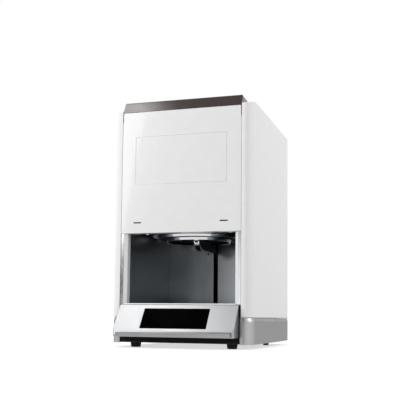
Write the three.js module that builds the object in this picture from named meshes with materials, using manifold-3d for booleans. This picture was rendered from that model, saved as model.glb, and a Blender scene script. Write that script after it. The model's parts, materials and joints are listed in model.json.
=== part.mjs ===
// Dental sintering furnace with a bottom-loading lift.
// Millimetres, +Z up. The front faces -Y and the floor under the feet is z = 0.

import * as THREE from 'three';
import { mergeVertices } from 'three/addons/utils/BufferGeometryUtils.js';
import Module from 'manifold-3d';

const wasm = await Module();
wasm.setup();

// Fits, allowances and sheet gauges
const seat_gap = 0.3;
const seam_gap = 0.6;
const run_gap = 1.8;
const overrun = 6;
const weld = 0.0001;
const least_step = 0.01;
const cover_wall = 2.5;
const skirt_wall = 3;
const sheet = 1.5;
const pan_sheet = 2;

// Round forms: sides of a full circle, and steps in a quarter arc of an outline
const fine_sides = 44;
const round_sides = 24;
const small_sides = 12;
const tiny_sides = 8;
const wire_sides = 4;
const arc_steps = 3;
const slot_steps = 1;

// Overall body
const fascia_width = 300;
const fascia_height = 298;
const column_width = 23;
const column_radius = 17;
const rear_room = 60.5;
const front_drop = 12.5;
const front_run = 65;

// Feet
const foot_height = 11;
const foot_top_radius = 12.8;
const foot_pad_radius = 9.8;
const foot_flare = 2.4;
const foot_front_inset = 52.6;
const foot_front_setback = 37;
const foot_rear_inset = 38.6;
const foot_rear_margin = 107;
const rear_foot_share = 0.62;

// Base skirt and floor pan
const skirt_height = 61.7;
const skirt_bulge = 4.5;
const skirt_shoulder = 9;
const skirt_corner_radius = 27;
const skirt_edge = 1.5;
const pan_recess = 1;
const pan_lip = 11;
const pan_slot_length = 70;
const pan_slot_width = 5;
const pan_slot_pitch = 16;
const pan_slot_count = 5;

// Loading bay
const bay_side_margin = 15;
const bay_height = 170.4;
const bay_back_margin = 28.2;
const floor_rise = 29.9;
const jamb_depth = 24;
const jamb_radius = 6;
const jamb_setback = 2;
const arm_slot_width = 12.6;
const bay_wall_skirt = 26;

// Front fascia and top cap
const fascia_depth = 17.7;
const fascia_wall = 2.2;
const slot_length = 20;
const slot_width = 2.8;
const slot_inset = 41.5;
const slot_rise = 25.5;
const frame_inset = 34.5;
const frame_height = 119;
const frame_rise = 117;
const frame_line = 1.2;
const frame_line_depth = 0.6;
const corner_slit_height = 25;
const corner_slit_width = 1.8;
const cap_height = 28.4;
const cap_lean = 14;
const cap_depth = 92;
const cap_brow_depth = 76;
const cap_stand = 12;
const cap_fall = 3;
const cap_brow_radius = 4;
const cap_back_radius = 12;
const cap_corner_radius = 8;

// Console and touch screen
const console_inset = 3.5;
const console_reach = 50;
const console_ledge = 3;
const console_back = 3.3;
const lip_top = 38.5;
const lip_height = 12;
const console_edge_radius = 2.5;
const console_corner_radius = 9;
const screen_width = 161;
const screen_height_share = 0.717;
const screen_drop_share = 0.1585;
const screen_thickness = 2.8;
const screen_stand = 0.3;
const display_border = 4;
const display_depth_share = 0.2;

// Lift plate, plug and setter
const plate_margin = 29;
const plate_thickness = 6;
const plate_edge = 1.2;
const plate_show = 4;
const plug_margin = 32;
const plug_foot_height = 42;
const plug_shoulder = 16;
const plug_nose_height = 28;
const plug_edge = 1.5;
const setter_inset = 4;
const setter_height = 4;
const setter_recess = 1.5;
const setter_rim = 4;

// Lift arm, carriage, screw and rods
const arm_width = 9;
const arm_height = 22.7;
const arm_nose_lead = 20;
const arm_nose_length = 42;
const arm_nose_height = 6.5;
const arm_flange_width = 34;
const arm_flange_length = 84;
const arm_flange_height = 4;
const arm_pad_width = 50;
const arm_pad_height = 34;
const arm_pad_depth = 6;
const carriage_width = 88;
const carriage_depth = 36;
const carriage_height = 60;
const carriage_rise = 14;
const carriage_lead = 14;
const rod_radius = 6;
const rod_pitch = 64;
const bush_wall = 3;
const bush_rim = 2;
const bush_rim_height = 2.2;
const screw_radius = 5;
const journal_radius = 4;
const nut_radius = 8;
const nut_flange_radius = 12;
const nut_flange_height = 5;
const nut_length = 24;
const coupler_radius = 10;
const coupler_height = 16;
const coupler_slit = 1.2;
const coupler_slit_share = 0.55;
const shaft_radius = 2.5;
const shaft_length = 5;
const motor_width = 42;
const motor_height = 47;
const motor_corner = 5;
const motor_cap_height = 9;
const motor_waist = 1.4;
const pilot_radius = 11;
const pilot_height = 2;
const lift_frame_width = 94;
const lift_frame_sheet = 3;
const lift_frame_back = 34;
const lift_frame_gusset = 26;
const upper_clearance = 7;

// Furnace chamber
const casing_side_room = 15.9;
const casing_front_room = 2.5;
const casing_height = 241;
const flange_overlap = 12;
const flange_height = 3;
const flange_edge = 1;
const throat_clearance = 2;
const chamber_clearance = 4;
const chamber_height = 120;
const lid_height = 78;
const element_inset = 13;
const element_legs = 28;
const element_count = 4;
const hot_radius = 2;
const shank_radius = 3;
const shank_dip = 14;
const element_hang = 10;
const shank_stand = 22;
const element_turn_steps = 8;
const holder_boss = 13;
const holder_height = 5;
const holder_boss_rise = 6;
const probe_radius = 3;
const probe_dip = 12;
const probe_head_radius = 10;
const probe_head_height = 18;
const probe_collar_height = 5;

// Chassis
const chassis_flange = 10;
const chassis_setback = 18;
const chassis_top_gap = 21;
const cross_slot_height = 60;
const cross_slot_width = 12;
const cross_slot_pitch = 30;
const cross_slot_count = 4;
const roof_flange = 24;
const vent_length = 44;
const vent_width = 5;
const vent_pitch = 12;
const roof_vent_count = 9;
const roof_vent_setback = 62;

// Rear cover
const rear_wall = 2;
const rear_flange = 9;
const rear_vent_count = 11;
const low_vent_rise = 66;
const low_vent_shift = 60;
const high_vent_drop = 44;

// Cooling fan
const fan_size = 92;
const fan_depth = 25;
const fan_corner = 7;
const fan_drop = 150;
const fan_bore_radius = 42;
const fan_hub_radius = 16;
const fan_boss_radius = 20;
const fan_boss_depth = 4;
const fan_strut_width = 5;
const fan_strut_count = 4;
const blade_count = 7;
const blade_steps = 3;
const blade_thickness = 1.6;
const blade_root_chord = 17;
const blade_tip_chord = 22;
const blade_root_pitch = THREE.MathUtils.degToRad(48);
const blade_tip_pitch = THREE.MathUtils.degToRad(28);
const blade_sweep = THREE.MathUtils.degToRad(10);
const guard_wire = 1.4;
const guard_ring_count = 4;
const guard_spoke_count = 4;
const guard_plate_radius = 9;
const guard_eye_radius = 4;

// Mains inlet and power switch
const inlet_margin = 35.7;
const inlet_rise = 42;
const inlet_width = 48;
const inlet_height = 28;
const inlet_body_width = 32;
const inlet_body_height = 25;
const inlet_flange = 2.5;
const inlet_depth = 24;
const inlet_recess_width = 25;
const inlet_recess_height = 17;
const inlet_recess_depth = 16;
const inlet_corner = 3;
const pin_width = 2;
const pin_height = 4;
const pin_pitch = 14;
const pin_drop = 2.5;
const pin_length = 12;
const switch_rise = 86;
const switch_width = 32;
const switch_height = 25;
const switch_wall = 2.4;
const switch_flange = 2.2;
const switch_depth = 20;
const rocker_crown = 4;
const rocker_tilt = THREE.MathUtils.degToRad(8);

// Transformer, power regulator and control board
const coil_clearance = 4.35;
const coil_height = 62;
const coil_edge = 12;
const coil_margin = 70;
const dish_share = 0.58;
const dish_height = 4;
const bolt_radius = 4;
const bolt_head_radius = 7;
const bolt_head_height = 5;
const regulator_clearance = 10.35;
const regulator_margin = 120;
const regulator_length = 84;
const fin_count = 9;
const fin_thickness = 2.4;
const fin_height = 30;
const regulator_plate = 6;
const module_width = 45;
const module_length = 58;
const module_height = 21;
const terminal_height = 6;
const terminal_width = 9;
const board_margin = 120;
const board_length = 96;
const board_height = 130;
const board_rise = 230;
const board_sheet = 1.6;
const board_stand = 7;
const board_post_radius = 3;
const board_post_inset = 7;

// Components as shares of the board: along, up, breadth, height and how far they stand out
const board_part_shares = [
  [0.22, 0.2, 0.26, 0.22, 0.24],
  [0.56, 0.16, 0.18, 0.12, 0.16],
  [0.8, 0.16, 0.18, 0.12, 0.16],
  [0.55, 0.55, 0.24, 0.18, 0.04],
  [0.5, 0.94, 0.56, 0.06, 0.12],
  [0.14, 0.6, 0.1, 0.3, 0.1],
];
const board_can_shares = [
  [0.52, 0.34, 0.07, 0.3],
  [0.72, 0.34, 0.07, 0.3],
  [0.84, 0.62, 0.05, 0.2],
];

// Levels above the floor, worked out from the sizes above
const skirt_z0 = foot_height;
const skirt_z1 = skirt_z0 + skirt_height;
const pan_z0 = skirt_z0 + pan_recess;
const pan_z1 = pan_z0 + pan_sheet;
const stand_z = pan_z1 + seat_gap;
const floor_z = skirt_z1 + floor_rise;
const fascia_z0 = floor_z + bay_height;
const fascia_z1 = fascia_z0 + fascia_height;
const cap_z0 = fascia_z1 + seam_gap;
const cap_z1 = cap_z0 + cap_height;
const roof_z = cap_z1 - cap_stand;
const cover_z0 = skirt_z1 + seat_gap;
const plate_z0 = fascia_z0 - plate_show;
const plate_z1 = plate_z0 + plate_thickness;
const flange_z0 = plate_z1 + seam_gap;
const ceiling_z0 = flange_z0 + flange_height + seat_gap;
const ceiling_z1 = ceiling_z0 + sheet;
const casing_z0 = ceiling_z1 + seat_gap;
const plug_z0 = plate_z1 + seat_gap;
const plug_step_z = plug_z0 + plug_foot_height;
const plug_z1 = plug_step_z + plug_nose_height;
const setter_z0 = plug_z1 + seat_gap;
const setter_z1 = setter_z0 + setter_height;
const throat_z1 = plug_step_z + run_gap;
const chamber_z0 = throat_z1 + seat_gap;
const chamber_z1 = chamber_z0 + chamber_height;
const lid_z0 = chamber_z1 + seat_gap;
const lid_z1 = lid_z0 + lid_height;
const arm_z1 = plate_z0 - seat_gap;
const arm_z0 = arm_z1 - arm_height;
const carriage_z1 = arm_z1 + carriage_rise;
const carriage_z0 = carriage_z1 - carriage_height;
const motor_z0 = stand_z;
const motor_z1 = motor_z0 + motor_height;
const shelf_z0 = motor_z1 + seat_gap;
const shelf_z1 = shelf_z0 + lift_frame_sheet;
const upper_shelf_z0 = carriage_z1 + upper_clearance;
const upper_shelf_z1 = upper_shelf_z0 + lift_frame_sheet;
const coupler_z0 = shelf_z1 + seam_gap;
const coupler_z1 = coupler_z0 + coupler_height;

// Places across and along, measured from the middle and from the fascia's face
const half = (size) => size / 2;
const cover_in = half(fascia_width) + seam_gap;
const cover_out = cover_in + column_width;
const bay_half = half(fascia_width) - bay_side_margin;
const chassis_out = half(fascia_width) - fascia_wall - seam_gap;
const chassis_in = chassis_out - sheet;
const console_half = half(fascia_width) - console_inset;
const plate_radius = bay_half - plate_margin;
const flange_radius = plate_radius + flange_overlap;
const casing_radius = chassis_in - casing_side_room;
const lining_radius = casing_radius - sheet - seam_gap;
const plug_foot_radius = plate_radius - plug_margin;
const plug_nose_radius = plug_foot_radius - plug_shoulder;
const setter_radius = plug_nose_radius - setter_inset;
const throat_radius = plug_foot_radius + throat_clearance;
const chamber_radius = plug_nose_radius + chamber_clearance;
const element_pitch_radius = chamber_radius - element_inset;
const chamber_y = fascia_depth + casing_front_room + casing_radius;
const bay_depth = chamber_y + casing_radius + bay_back_margin;
const back_plate_y1 = bay_depth + sheet;
const carriage_y0 = back_plate_y1 + arm_pad_depth + carriage_lead;
const carriage_y1 = carriage_y0 + carriage_depth;
const screw_y = carriage_y0 + half(carriage_depth);
const lift_frame_y1 = screw_y + lift_frame_back;
const lift_frame_y0 = lift_frame_y1 - lift_frame_sheet;
const rear_y = lift_frame_y1 + rear_room;
const side_room = chassis_in - half(lift_frame_width);
const electrics_x = half(lift_frame_width) + half(side_room);
const pad_y0 = carriage_y0 - seat_gap - arm_pad_depth;
const rod_places = [-half(rod_pitch), half(rod_pitch)];
const fan_z = roof_z - fan_drop;
const guard_reach = seat_gap + 3 * guard_wire;
const chassis_z1 = roof_z - chassis_top_gap;
const panel_floor_z = cover_z0 + seat_gap;
const fan_y1 = rear_y - rear_wall - seat_gap;
const fan_y0 = fan_y1 - fan_depth;
const inlet_x = inlet_margin - chassis_in;
const inlet_z = panel_floor_z + inlet_rise;
const switch_z = panel_floor_z + switch_rise;
const outlet_y = rear_y + seat_gap;
const rocker_pivot_y = outlet_y - half(switch_flange);
const slope_angle = Math.atan2(floor_z - lip_top, console_reach - console_ledge);
const slope_length = Math.hypot(floor_z - lip_top, console_reach - console_ledge);
const screen_down0 = slope_length * screen_drop_share;
const screen_down1 = screen_down0 + slope_length * screen_height_share;

// Finishes
function finish(colour, roughness, metalness) {
  return new THREE.MeshStandardMaterial({ color: colour, roughness, metalness });
}

const white_cover = finish(0xe9e7e8, 0.38, 0);
const pale_panel = finish(0xebebec, 0.28, 0);
const brown_gloss = finish(0x463d3c, 0.16, 0);
const silver_plastic = finish(0xcfd0d1, 0.36, 0.25);
const base_grey = finish(0xa9aaab, 0.42, 0.15);
const black_glass = finish(0x050506, 0.05, 0);
const black_plastic = finish(0x17181a, 0.5, 0);
const rubber = finish(0x121212, 0.8, 0);
const painted_steel = finish(0x2b2c2e, 0.55, 0.2);
const zinc_steel = finish(0xa4a8ac, 0.42, 0.9);
const bright_steel = finish(0xc2c5c8, 0.18, 1);
const bay_steel = finish(0x9fa3a7, 0.24, 1);
const aluminium = finish(0xb9bcbf, 0.4, 0.9);
const fibre = finish(0xf1ece2, 0.95, 0);
const zirconia = finish(0xece3d2, 0.7, 0);
const disilicide = finish(0x5b5d61, 0.45, 0.5);
const brass = finish(0xb18d53, 0.35, 0.9);
const copper_tape = finish(0xd9b44a, 0.55, 0);
const board_green = finish(0x1f5a38, 0.5, 0);

// Solids: closed meshes go in and out of the boolean kernel here
function toSolid(geometry) {
  const shell = geometry.clone();
  shell.deleteAttribute('normal');
  shell.deleteAttribute('uv');
  const merged = mergeVertices(shell, weld);
  const corners = merged.index.array;
  const kept = [];
  for (let i = 0; i < corners.length; i += 3) {
    const [a, b, c] = [corners[i], corners[i + 1], corners[i + 2]];
    if (a !== b && b !== c && c !== a) kept.push(a, b, c);
  }
  const points = merged.attributes.position.array;
  if (signedVolume(points, kept) < 0) kept.reverse();
  return new wasm.Manifold(new wasm.Mesh({
    numProp: 3,
    vertProperties: new Float32Array(points),
    triVerts: new Uint32Array(kept),
  }));
}

function signedVolume(points, corners) {
  const [p, q, r] = [new THREE.Vector3(), new THREE.Vector3(), new THREE.Vector3()];
  let total = 0;
  for (let i = 0; i < corners.length; i += 3) {
    p.fromArray(points, 3 * corners[i]);
    q.fromArray(points, 3 * corners[i + 1]);
    r.fromArray(points, 3 * corners[i + 2]);
    total += p.dot(q.cross(r));
  }
  return total;
}

function toGeometry(solid) {
  const mesh = solid.getMesh();
  const geometry = new THREE.BufferGeometry();
  geometry.setAttribute('position', new THREE.BufferAttribute(mesh.vertProperties, mesh.numProp));
  geometry.setIndex(new THREE.BufferAttribute(mesh.triVerts, 1));
  geometry.computeVertexNormals();
  return geometry;
}

function moved(solid, matrix) {
  return toSolid(toGeometry(solid).applyMatrix4(matrix));
}

function shifted(solid, x, y, z) {
  return moved(solid, new THREE.Matrix4().makeTranslation(x, y, z));
}

function mirrored(solid) {
  return moved(solid, new THREE.Matrix4().makeScale(-1, 1, 1));
}

function join(first, ...others) {
  return others.reduce((whole, next) => whole.add(next), first);
}

function cut(body, ...tools) {
  return tools.reduce((left, tool) => left.subtract(tool), body);
}

// Basic forms
function block(x0, x1, y0, y1, z0, z1) {
  const box = new THREE.BoxGeometry(x1 - x0, y1 - y0, z1 - z0);
  return toSolid(box.translate(half(x0 + x1), half(y0 + y1), half(z0 + z1)));
}

function extruded(shape, depth, basis) {
  const steps = shape.userData?.steps ?? arc_steps;
  const settings = { depth, bevelEnabled: false, curveSegments: steps };
  return toSolid(new THREE.ExtrudeGeometry(shape, settings).applyMatrix4(basis));
}

// A plan outline in x and y, carried up from z0 to z1
function prismUp(shape, z0, z1) {
  return extruded(shape, z1 - z0, new THREE.Matrix4().makeTranslation(0, 0, z0));
}

// A side outline in y and z, carried across from x0 to x1
function prismAcross(shape, x0, x1) {
  const basis = new THREE.Matrix4().makeBasis(
    new THREE.Vector3(0, 1, 0),
    new THREE.Vector3(0, 0, 1),
    new THREE.Vector3(1, 0, 0),
  );
  return extruded(shape, x1 - x0, basis.setPosition(x0, 0, 0));
}

// A front outline in x and z, carried back from y0 to y1
function prismBack(shape, y0, y1) {
  const basis = new THREE.Matrix4().makeBasis(
    new THREE.Vector3(1, 0, 0),
    new THREE.Vector3(0, 0, 1),
    new THREE.Vector3(0, -1, 0),
  );
  return extruded(shape, y1 - y0, basis.setPosition(0, y1, 0));
}

// A profile of [radius, height] pairs, turned about an upright axis at x, y
function turned(profile, sides, x, y) {
  const outline = profile.map(([radius, height]) => new THREE.Vector2(radius, height));
  const lathe = new THREE.LatheGeometry(outline, sides).rotateX(Math.PI / 2);
  return toSolid(lathe.translate(x, y, 0));
}

function post(radius, z0, z1, sides, x, y) {
  return turned([[0, z0], [radius, z0], [radius, z1], [0, z1]], sides, x, y);
}

function ring(inner, outer, z0, z1, sides, x, y) {
  return turned([[inner, z0], [outer, z0], [outer, z1], [inner, z1], [inner, z0]], sides, x, y);
}

// A round bar along Y through x, z
function barBack(radius, y0, y1, sides, x, z) {
  const bar = new THREE.CylinderGeometry(radius, radius, y1 - y0, sides);
  return toSolid(bar.translate(x, half(y0 + y1), z));
}

// A polygon whose corners are rounded, each by its own radius
function roundedShape(corners, radii) {
  const shape = new THREE.Shape();
  const points = corners.map(([x, y]) => new THREE.Vector2(x, y));
  points.forEach((corner, i) => {
    const before = points[(i + points.length - 1) % points.length];
    const after = points[(i + 1) % points.length];
    const radius = radii[i];
    const way_in = corner.clone().sub(before).normalize();
    const way_out = after.clone().sub(corner).normalize();
    const side = Math.sign(way_in.cross(way_out));
    const bend = Math.acos(THREE.MathUtils.clamp(way_in.dot(way_out), -1, 1));
    const run = radius * Math.tan(bend / 2);
    const start = corner.clone().addScaledVector(way_in, -run);
    const end = corner.clone().addScaledVector(way_out, run);
    if (i === 0) shape.moveTo(start.x, start.y);
    else shape.lineTo(start.x, start.y);
    if (radius > 0) {
      const centre = new THREE.Vector2(-way_in.y, way_in.x).multiplyScalar(side * radius).add(start);
      const from = start.clone().sub(centre).angle();
      const to = end.clone().sub(centre).angle();
      shape.absarc(centre.x, centre.y, radius, from, to, side < 0);
    }
  });
  shape.closePath();
  return shape;
}

function roundedBox(x0, x1, y0, y1, radius) {
  const corners = [[x0, y0], [x1, y0], [x1, y1], [x0, y1]];
  return roundedShape(corners, corners.map(() => radius));
}

// The same convex polygon with every side drawn in by a distance
function drawnIn(corners, distance) {
  const points = corners.map(([x, y]) => new THREE.Vector2(x, y));
  return points.map((corner, i) => {
    const before = points[(i + points.length - 1) % points.length];
    const after = points[(i + 1) % points.length];
    const way_in = corner.clone().sub(before).normalize();
    const way_out = after.clone().sub(corner).normalize();
    const turn = way_in.cross(way_out);
    const inner = corner.clone();
    inner.addScaledVector(way_in, -distance / turn);
    inner.addScaledVector(way_out, distance / turn);
    return [inner.x, inner.y];
  });
}

// A slot with round ends in a front outline, long way across or up
function slotShape(x, z, length, width, upright) {
  const reach_x = half(upright ? width : length);
  const reach_z = half(upright ? length : width);
  const shape = roundedBox(x - reach_x, x + reach_x, z - reach_z, z + reach_z, half(width));
  shape.userData = { steps: slot_steps };
  return shape;
}

// A closed skin through rings of equal point counts, one above the other
function lofted(rings, heights) {
  const count = rings[0].length;
  const positions = rings.flatMap((outline, level) => (
    outline.flatMap((point) => [point.x, point.y, heights[level]])
  ));
  const corners = [];
  for (let level = 0; level < rings.length - 1; level += 1) {
    for (let i = 0; i < count; i += 1) {
      const a = level * count + i;
      const b = level * count + ((i + 1) % count);
      corners.push(a, b, b + count, a, b + count, a + count);
    }
  }
  const top = (rings.length - 1) * count;
  for (const [a, b, c] of THREE.ShapeUtils.triangulateShape(rings[0], [])) {
    corners.push(c, b, a);
  }
  for (const [a, b, c] of THREE.ShapeUtils.triangulateShape(rings[rings.length - 1], [])) {
    corners.push(top + a, top + b, top + c);
  }
  const geometry = new THREE.BufferGeometry();
  geometry.setAttribute('position', new THREE.Float32BufferAttribute(positions, 3));
  geometry.setIndex(corners);
  return toSolid(geometry);
}

// Named pieces of the scene graph
const furnace = new THREE.Group();

function piece(name, material, solid) {
  const mesh = new THREE.Mesh(toGeometry(solid), material);
  mesh.name = name;
  furnace.add(mesh);
  return mesh;
}

// Feet: tapered rubber pads, the rear pair slimmer
function foot(x, y, share) {
  const profile = [
    [0, 0],
    [foot_pad_radius * share, 0],
    [foot_top_radius * share, foot_height - foot_flare],
    [foot_top_radius * share, pan_z0 - seat_gap],
    [0, pan_z0 - seat_gap],
  ];
  return turned(profile, round_sides, x, y);
}

function addFeet() {
  const front_x = cover_out - foot_front_inset;
  const rear_x = cover_out - foot_rear_inset;
  const rear_place = rear_y - foot_rear_margin;
  piece('foot_front_left', rubber, foot(-front_x, foot_front_setback, 1));
  piece('foot_front_right', rubber, foot(front_x, foot_front_setback, 1));
  piece('foot_rear_left', rubber, foot(-rear_x, rear_place, rear_foot_share));
  piece('foot_rear_right', rubber, foot(rear_x, rear_place, rear_foot_share));
}

// Floor pan: a folded tray, slotted under the lift for cooling air
function basePan() {
  const reach_x = cover_out - skirt_wall - seat_gap;
  const y0 = skirt_wall + seat_gap;
  const y1 = rear_y - skirt_wall - seat_gap;
  const corner = skirt_corner_radius - skirt_wall - seat_gap;
  const outline = roundedBox(-reach_x, reach_x, y0, y1, corner);
  const tray = prismUp(outline, pan_z0, pan_z1 + pan_lip);
  const room = roundedBox(
    pan_sheet - reach_x,
    reach_x - pan_sheet,
    y0 + pan_sheet,
    y1 - pan_sheet,
    corner - pan_sheet,
  );
  const front_x = half(fascia_width);
  const mouth = block(-front_x, front_x, y0 - overrun, y0 + overrun, pan_z1, pan_z1 + pan_lip + overrun);
  const slots = [];
  for (let i = 0; i < pan_slot_count; i += 1) {
    const y = chamber_y + (i - half(pan_slot_count - 1)) * pan_slot_pitch;
    const slot = slotShape(0, y, pan_slot_length, pan_slot_width, false);
    slots.push(prismUp(slot, pan_z0 - overrun, pan_z1 + overrun));
  }
  return cut(tray, prismUp(room, pan_z1, pan_z1 + pan_lip + overrun), mouth, ...slots);
}

// Base skirt: sides bow outwards in plan, and a shoulder slopes in to the body
function skirtOutline(inset, bulge) {
  const x = cover_out - inset;
  const front = skirt_corner_radius;
  const back = rear_y - half(skirt_corner_radius);
  const back_radius = half(skirt_corner_radius) - inset;
  const shape = new THREE.Shape();
  shape.moveTo(front - cover_out, inset);
  shape.lineTo(cover_out - front, inset);
  shape.absarc(cover_out - front, front, front - inset, -Math.PI / 2, 0, false);
  shape.quadraticCurveTo(x + 2 * bulge, half(front + back), x, back);
  shape.absarc(x - back_radius, back, back_radius, 0, Math.PI / 2, false);
  shape.lineTo(back_radius - x, rear_y - inset);
  shape.absarc(back_radius - x, back, back_radius, Math.PI / 2, Math.PI, false);
  shape.quadraticCurveTo(-x - 2 * bulge, half(front + back), -x, front);
  shape.absarc(front - cover_out, front, front - inset, Math.PI, 1.5 * Math.PI, false);
  const points = shape.extractPoints(arc_steps + 1).shape;
  const before = (i) => points[(i + points.length - 1) % points.length];
  return points.filter((point, i) => point.distanceTo(before(i)) > least_step);
}

function baseSkirt() {
  const shoulder_z = skirt_z1 - skirt_shoulder;
  const outer = lofted(
    [
      skirtOutline(skirt_edge, skirt_bulge),
      skirtOutline(0, skirt_bulge),
      skirtOutline(0, skirt_bulge),
      skirtOutline(0, 0),
    ],
    [skirt_z0, skirt_z0 + skirt_edge, shoulder_z, skirt_z1],
  );
  const inner = lofted(
    [
      skirtOutline(skirt_wall, skirt_bulge),
      skirtOutline(skirt_wall, skirt_bulge),
      skirtOutline(skirt_wall, 0),
      skirtOutline(skirt_wall, 0),
    ],
    [skirt_z0 - overrun, shoulder_z - skirt_wall, skirt_z1 - skirt_wall, skirt_z1 + overrun],
  );
  const gate = half(fascia_width) - run_gap;
  const mouth = block(-gate, gate, -overrun, skirt_wall + seat_gap, skirt_z0 - overrun, skirt_z1 + overrun);
  return cut(outer, inner, mouth);
}

// Chassis sides: upright plates folded in at front and back, slotted for air
function chassisSide() {
  const y0 = chassis_setback;
  const y1 = rear_y - rear_wall - rear_flange - seat_gap;
  const fold = chassis_out - chassis_flange;
  const outline = roundedShape(
    [
      [chassis_out, y0],
      [chassis_out, y1],
      [fold, y1],
      [fold, y1 - sheet],
      [chassis_in, y1 - sheet],
      [chassis_in, y0 + sheet],
      [fold, y0 + sheet],
      [fold, y0],
    ],
    [0, 0, 0, 0, 0, 0, 0, 0],
  );
  const slots = [];
  for (let i = 0; i < cross_slot_count; i += 1) {
    const y = chamber_y + (i - half(cross_slot_count - 1)) * cross_slot_pitch;
    const z = half(lid_z0 + lid_z1);
    const slot = slotShape(y, z, cross_slot_height, cross_slot_width, true);
    slots.push(prismAcross(slot, chassis_in - overrun, chassis_out + overrun));
  }
  return cut(prismUp(outline, stand_z, chassis_z1), ...slots);
}

// Kick panel: a black sheet behind and below the console
function kickPanel() {
  const reach = half(fascia_width) - run_gap - seat_gap;
  const y0 = console_back + seat_gap;
  return prismAcross(
    roundedShape(
      [
        [y0, stand_z],
        [y0 + chassis_flange, stand_z],
        [y0 + chassis_flange, stand_z + sheet],
        [y0 + sheet, stand_z + sheet],
        [y0 + sheet, floor_z - sheet - seat_gap],
        [y0, floor_z - sheet - seat_gap],
      ],
      [0, 0, 0, 0, 0, 0],
    ),
    -reach,
    reach,
  );
}

// Side covers: hollow columns with a round front corner and a softly dropped brow
function coverPlan(inset, inner_x, back_y) {
  const centre = cover_out - column_radius;
  const shape = new THREE.Shape();
  shape.moveTo(inner_x, inset);
  shape.lineTo(centre, inset);
  shape.absarc(centre, column_radius, column_radius - inset, -Math.PI / 2, 0, false);
  shape.lineTo(cover_out - inset, back_y);
  shape.lineTo(inner_x, back_y);
  shape.closePath();
  return shape;
}

function coverSide(inset, z0, back_y) {
  const shape = new THREE.Shape();
  shape.moveTo(-overrun, z0);
  shape.lineTo(back_y, z0);
  shape.lineTo(back_y, roof_z - inset);
  shape.lineTo(front_run, roof_z - inset);
  shape.quadraticCurveTo(half(front_run), roof_z - inset, 0, roof_z - front_drop - inset);
  shape.lineTo(-overrun, roof_z - front_drop - inset);
  shape.closePath();
  return shape;
}

function sideCover() {
  const outer_side = prismAcross(coverSide(0, cover_z0, rear_y + overrun), 0, cover_out + overrun);
  const outer = prismUp(coverPlan(0, cover_in, rear_y), cover_z0, roof_z).intersect(outer_side);
  const inner_side = prismAcross(
    coverSide(cover_wall, cover_z0 - overrun, rear_y + 2 * overrun),
    0,
    cover_out + overrun,
  );
  const room = coverPlan(cover_wall, cover_in - overrun, rear_y + overrun);
  const inner = prismUp(room, cover_z0 - overrun, roof_z).intersect(inner_side);
  return cut(outer, inner);
}

// Front fascia: a shallow pan with two vent slots, a fine framed panel line
// and a narrow slit at each top corner
function frontFascia() {
  const reach = half(fascia_width);
  const inner = reach - fascia_wall;
  const shell = cut(
    block(-reach, reach, 0, fascia_depth, fascia_z0, fascia_z1),
    block(
      -inner,
      inner,
      fascia_wall,
      fascia_depth + overrun,
      fascia_z0 + fascia_wall,
      fascia_z1 - fascia_wall,
    ),
  );
  const slots = [-1, 1].map((side) => {
    const x = side * (reach - slot_inset);
    const outline = slotShape(x, fascia_z0 + slot_rise, slot_length, slot_width, false);
    return prismBack(outline, -overrun, fascia_wall + overrun);
  });
  const slits = [-1, 1].map((side) => {
    const x = side * reach;
    return block(
      x - corner_slit_width,
      x + corner_slit_width,
      -overrun,
      half(fascia_depth),
      fascia_z1 - corner_slit_height,
      fascia_z1 + overrun,
    );
  });
  const frame_x = reach - frame_inset;
  const frame_z0 = fascia_z0 + frame_rise;
  const frame_z1 = frame_z0 + frame_height;
  const line = cut(
    block(-frame_x, frame_x, -overrun, frame_line_depth, frame_z0, frame_z1),
    block(
      frame_line - frame_x,
      frame_x - frame_line,
      -2 * overrun,
      overrun,
      frame_z0 + frame_line,
      frame_z1 - frame_line,
    ),
  );
  return cut(shell, line, ...slots, ...slits);
}

// Top cap: a glossy brow that leans back, with round upper corners, open below
function capSide(inset) {
  return drawnIn(
    [
      [0, cap_z0],
      [cap_depth, cap_z0],
      [cap_depth, roof_z],
      [cap_brow_depth, cap_z1 - cap_fall],
      [cap_lean, cap_z1],
    ],
    inset,
  );
}

function capFront(inset) {
  const reach = half(fascia_width) - inset;
  const top = cap_z1 - inset;
  const corners = [[-reach, cap_z0 - overrun], [reach, cap_z0 - overrun], [reach, top], [-reach, top]];
  return roundedShape(corners, [0, 0, cap_corner_radius, cap_corner_radius]);
}

function topCap() {
  const reach = half(fascia_width);
  const outer_side = roundedShape(capSide(0), [0, 0, 0, cap_back_radius, cap_brow_radius]);
  const outer_front = prismBack(capFront(0), -overrun, cap_depth + overrun);
  const outer = prismAcross(outer_side, -reach, reach).intersect(outer_front);
  const inner_side = roundedShape(capSide(cover_wall), [0, 0, 0, cap_back_radius, cap_brow_radius]);
  const inner_front = prismBack(capFront(cover_wall), -overrun, cap_depth + overrun);
  const inner = prismAcross(inner_side, -reach, reach).intersect(inner_front);
  const mouth = block(
    cover_wall - reach,
    reach - cover_wall,
    2 * cover_wall,
    cap_depth - 2 * cover_wall,
    cap_z0 - overrun,
    cap_z0 + 2 * cover_wall,
  );
  return cut(outer, inner, mouth);
}

// Roof cover: a folded sheet between the side covers, slotted near the back
function roofCover() {
  const reach = half(fascia_width);
  const y0 = cap_depth + seam_gap;
  const flange_in = chassis_out + seat_gap;
  const top = block(-reach, reach, y0, rear_y, roof_z - sheet, roof_z);
  const y1 = rear_y - rear_wall - rear_flange - seat_gap;
  const side = block(flange_in, flange_in + sheet, y0, y1, roof_z - roof_flange, roof_z - half(sheet));
  const slots = [];
  for (let i = 0; i < roof_vent_count; i += 1) {
    const x = (i - half(roof_vent_count - 1)) * vent_pitch;
    const slot = slotShape(x, rear_y - roof_vent_setback, vent_length, vent_width, true);
    slots.push(prismUp(slot, roof_z - sheet - overrun, roof_z + overrun));
  }
  return cut(join(top, side, mirrored(side)), ...slots);
}

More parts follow.
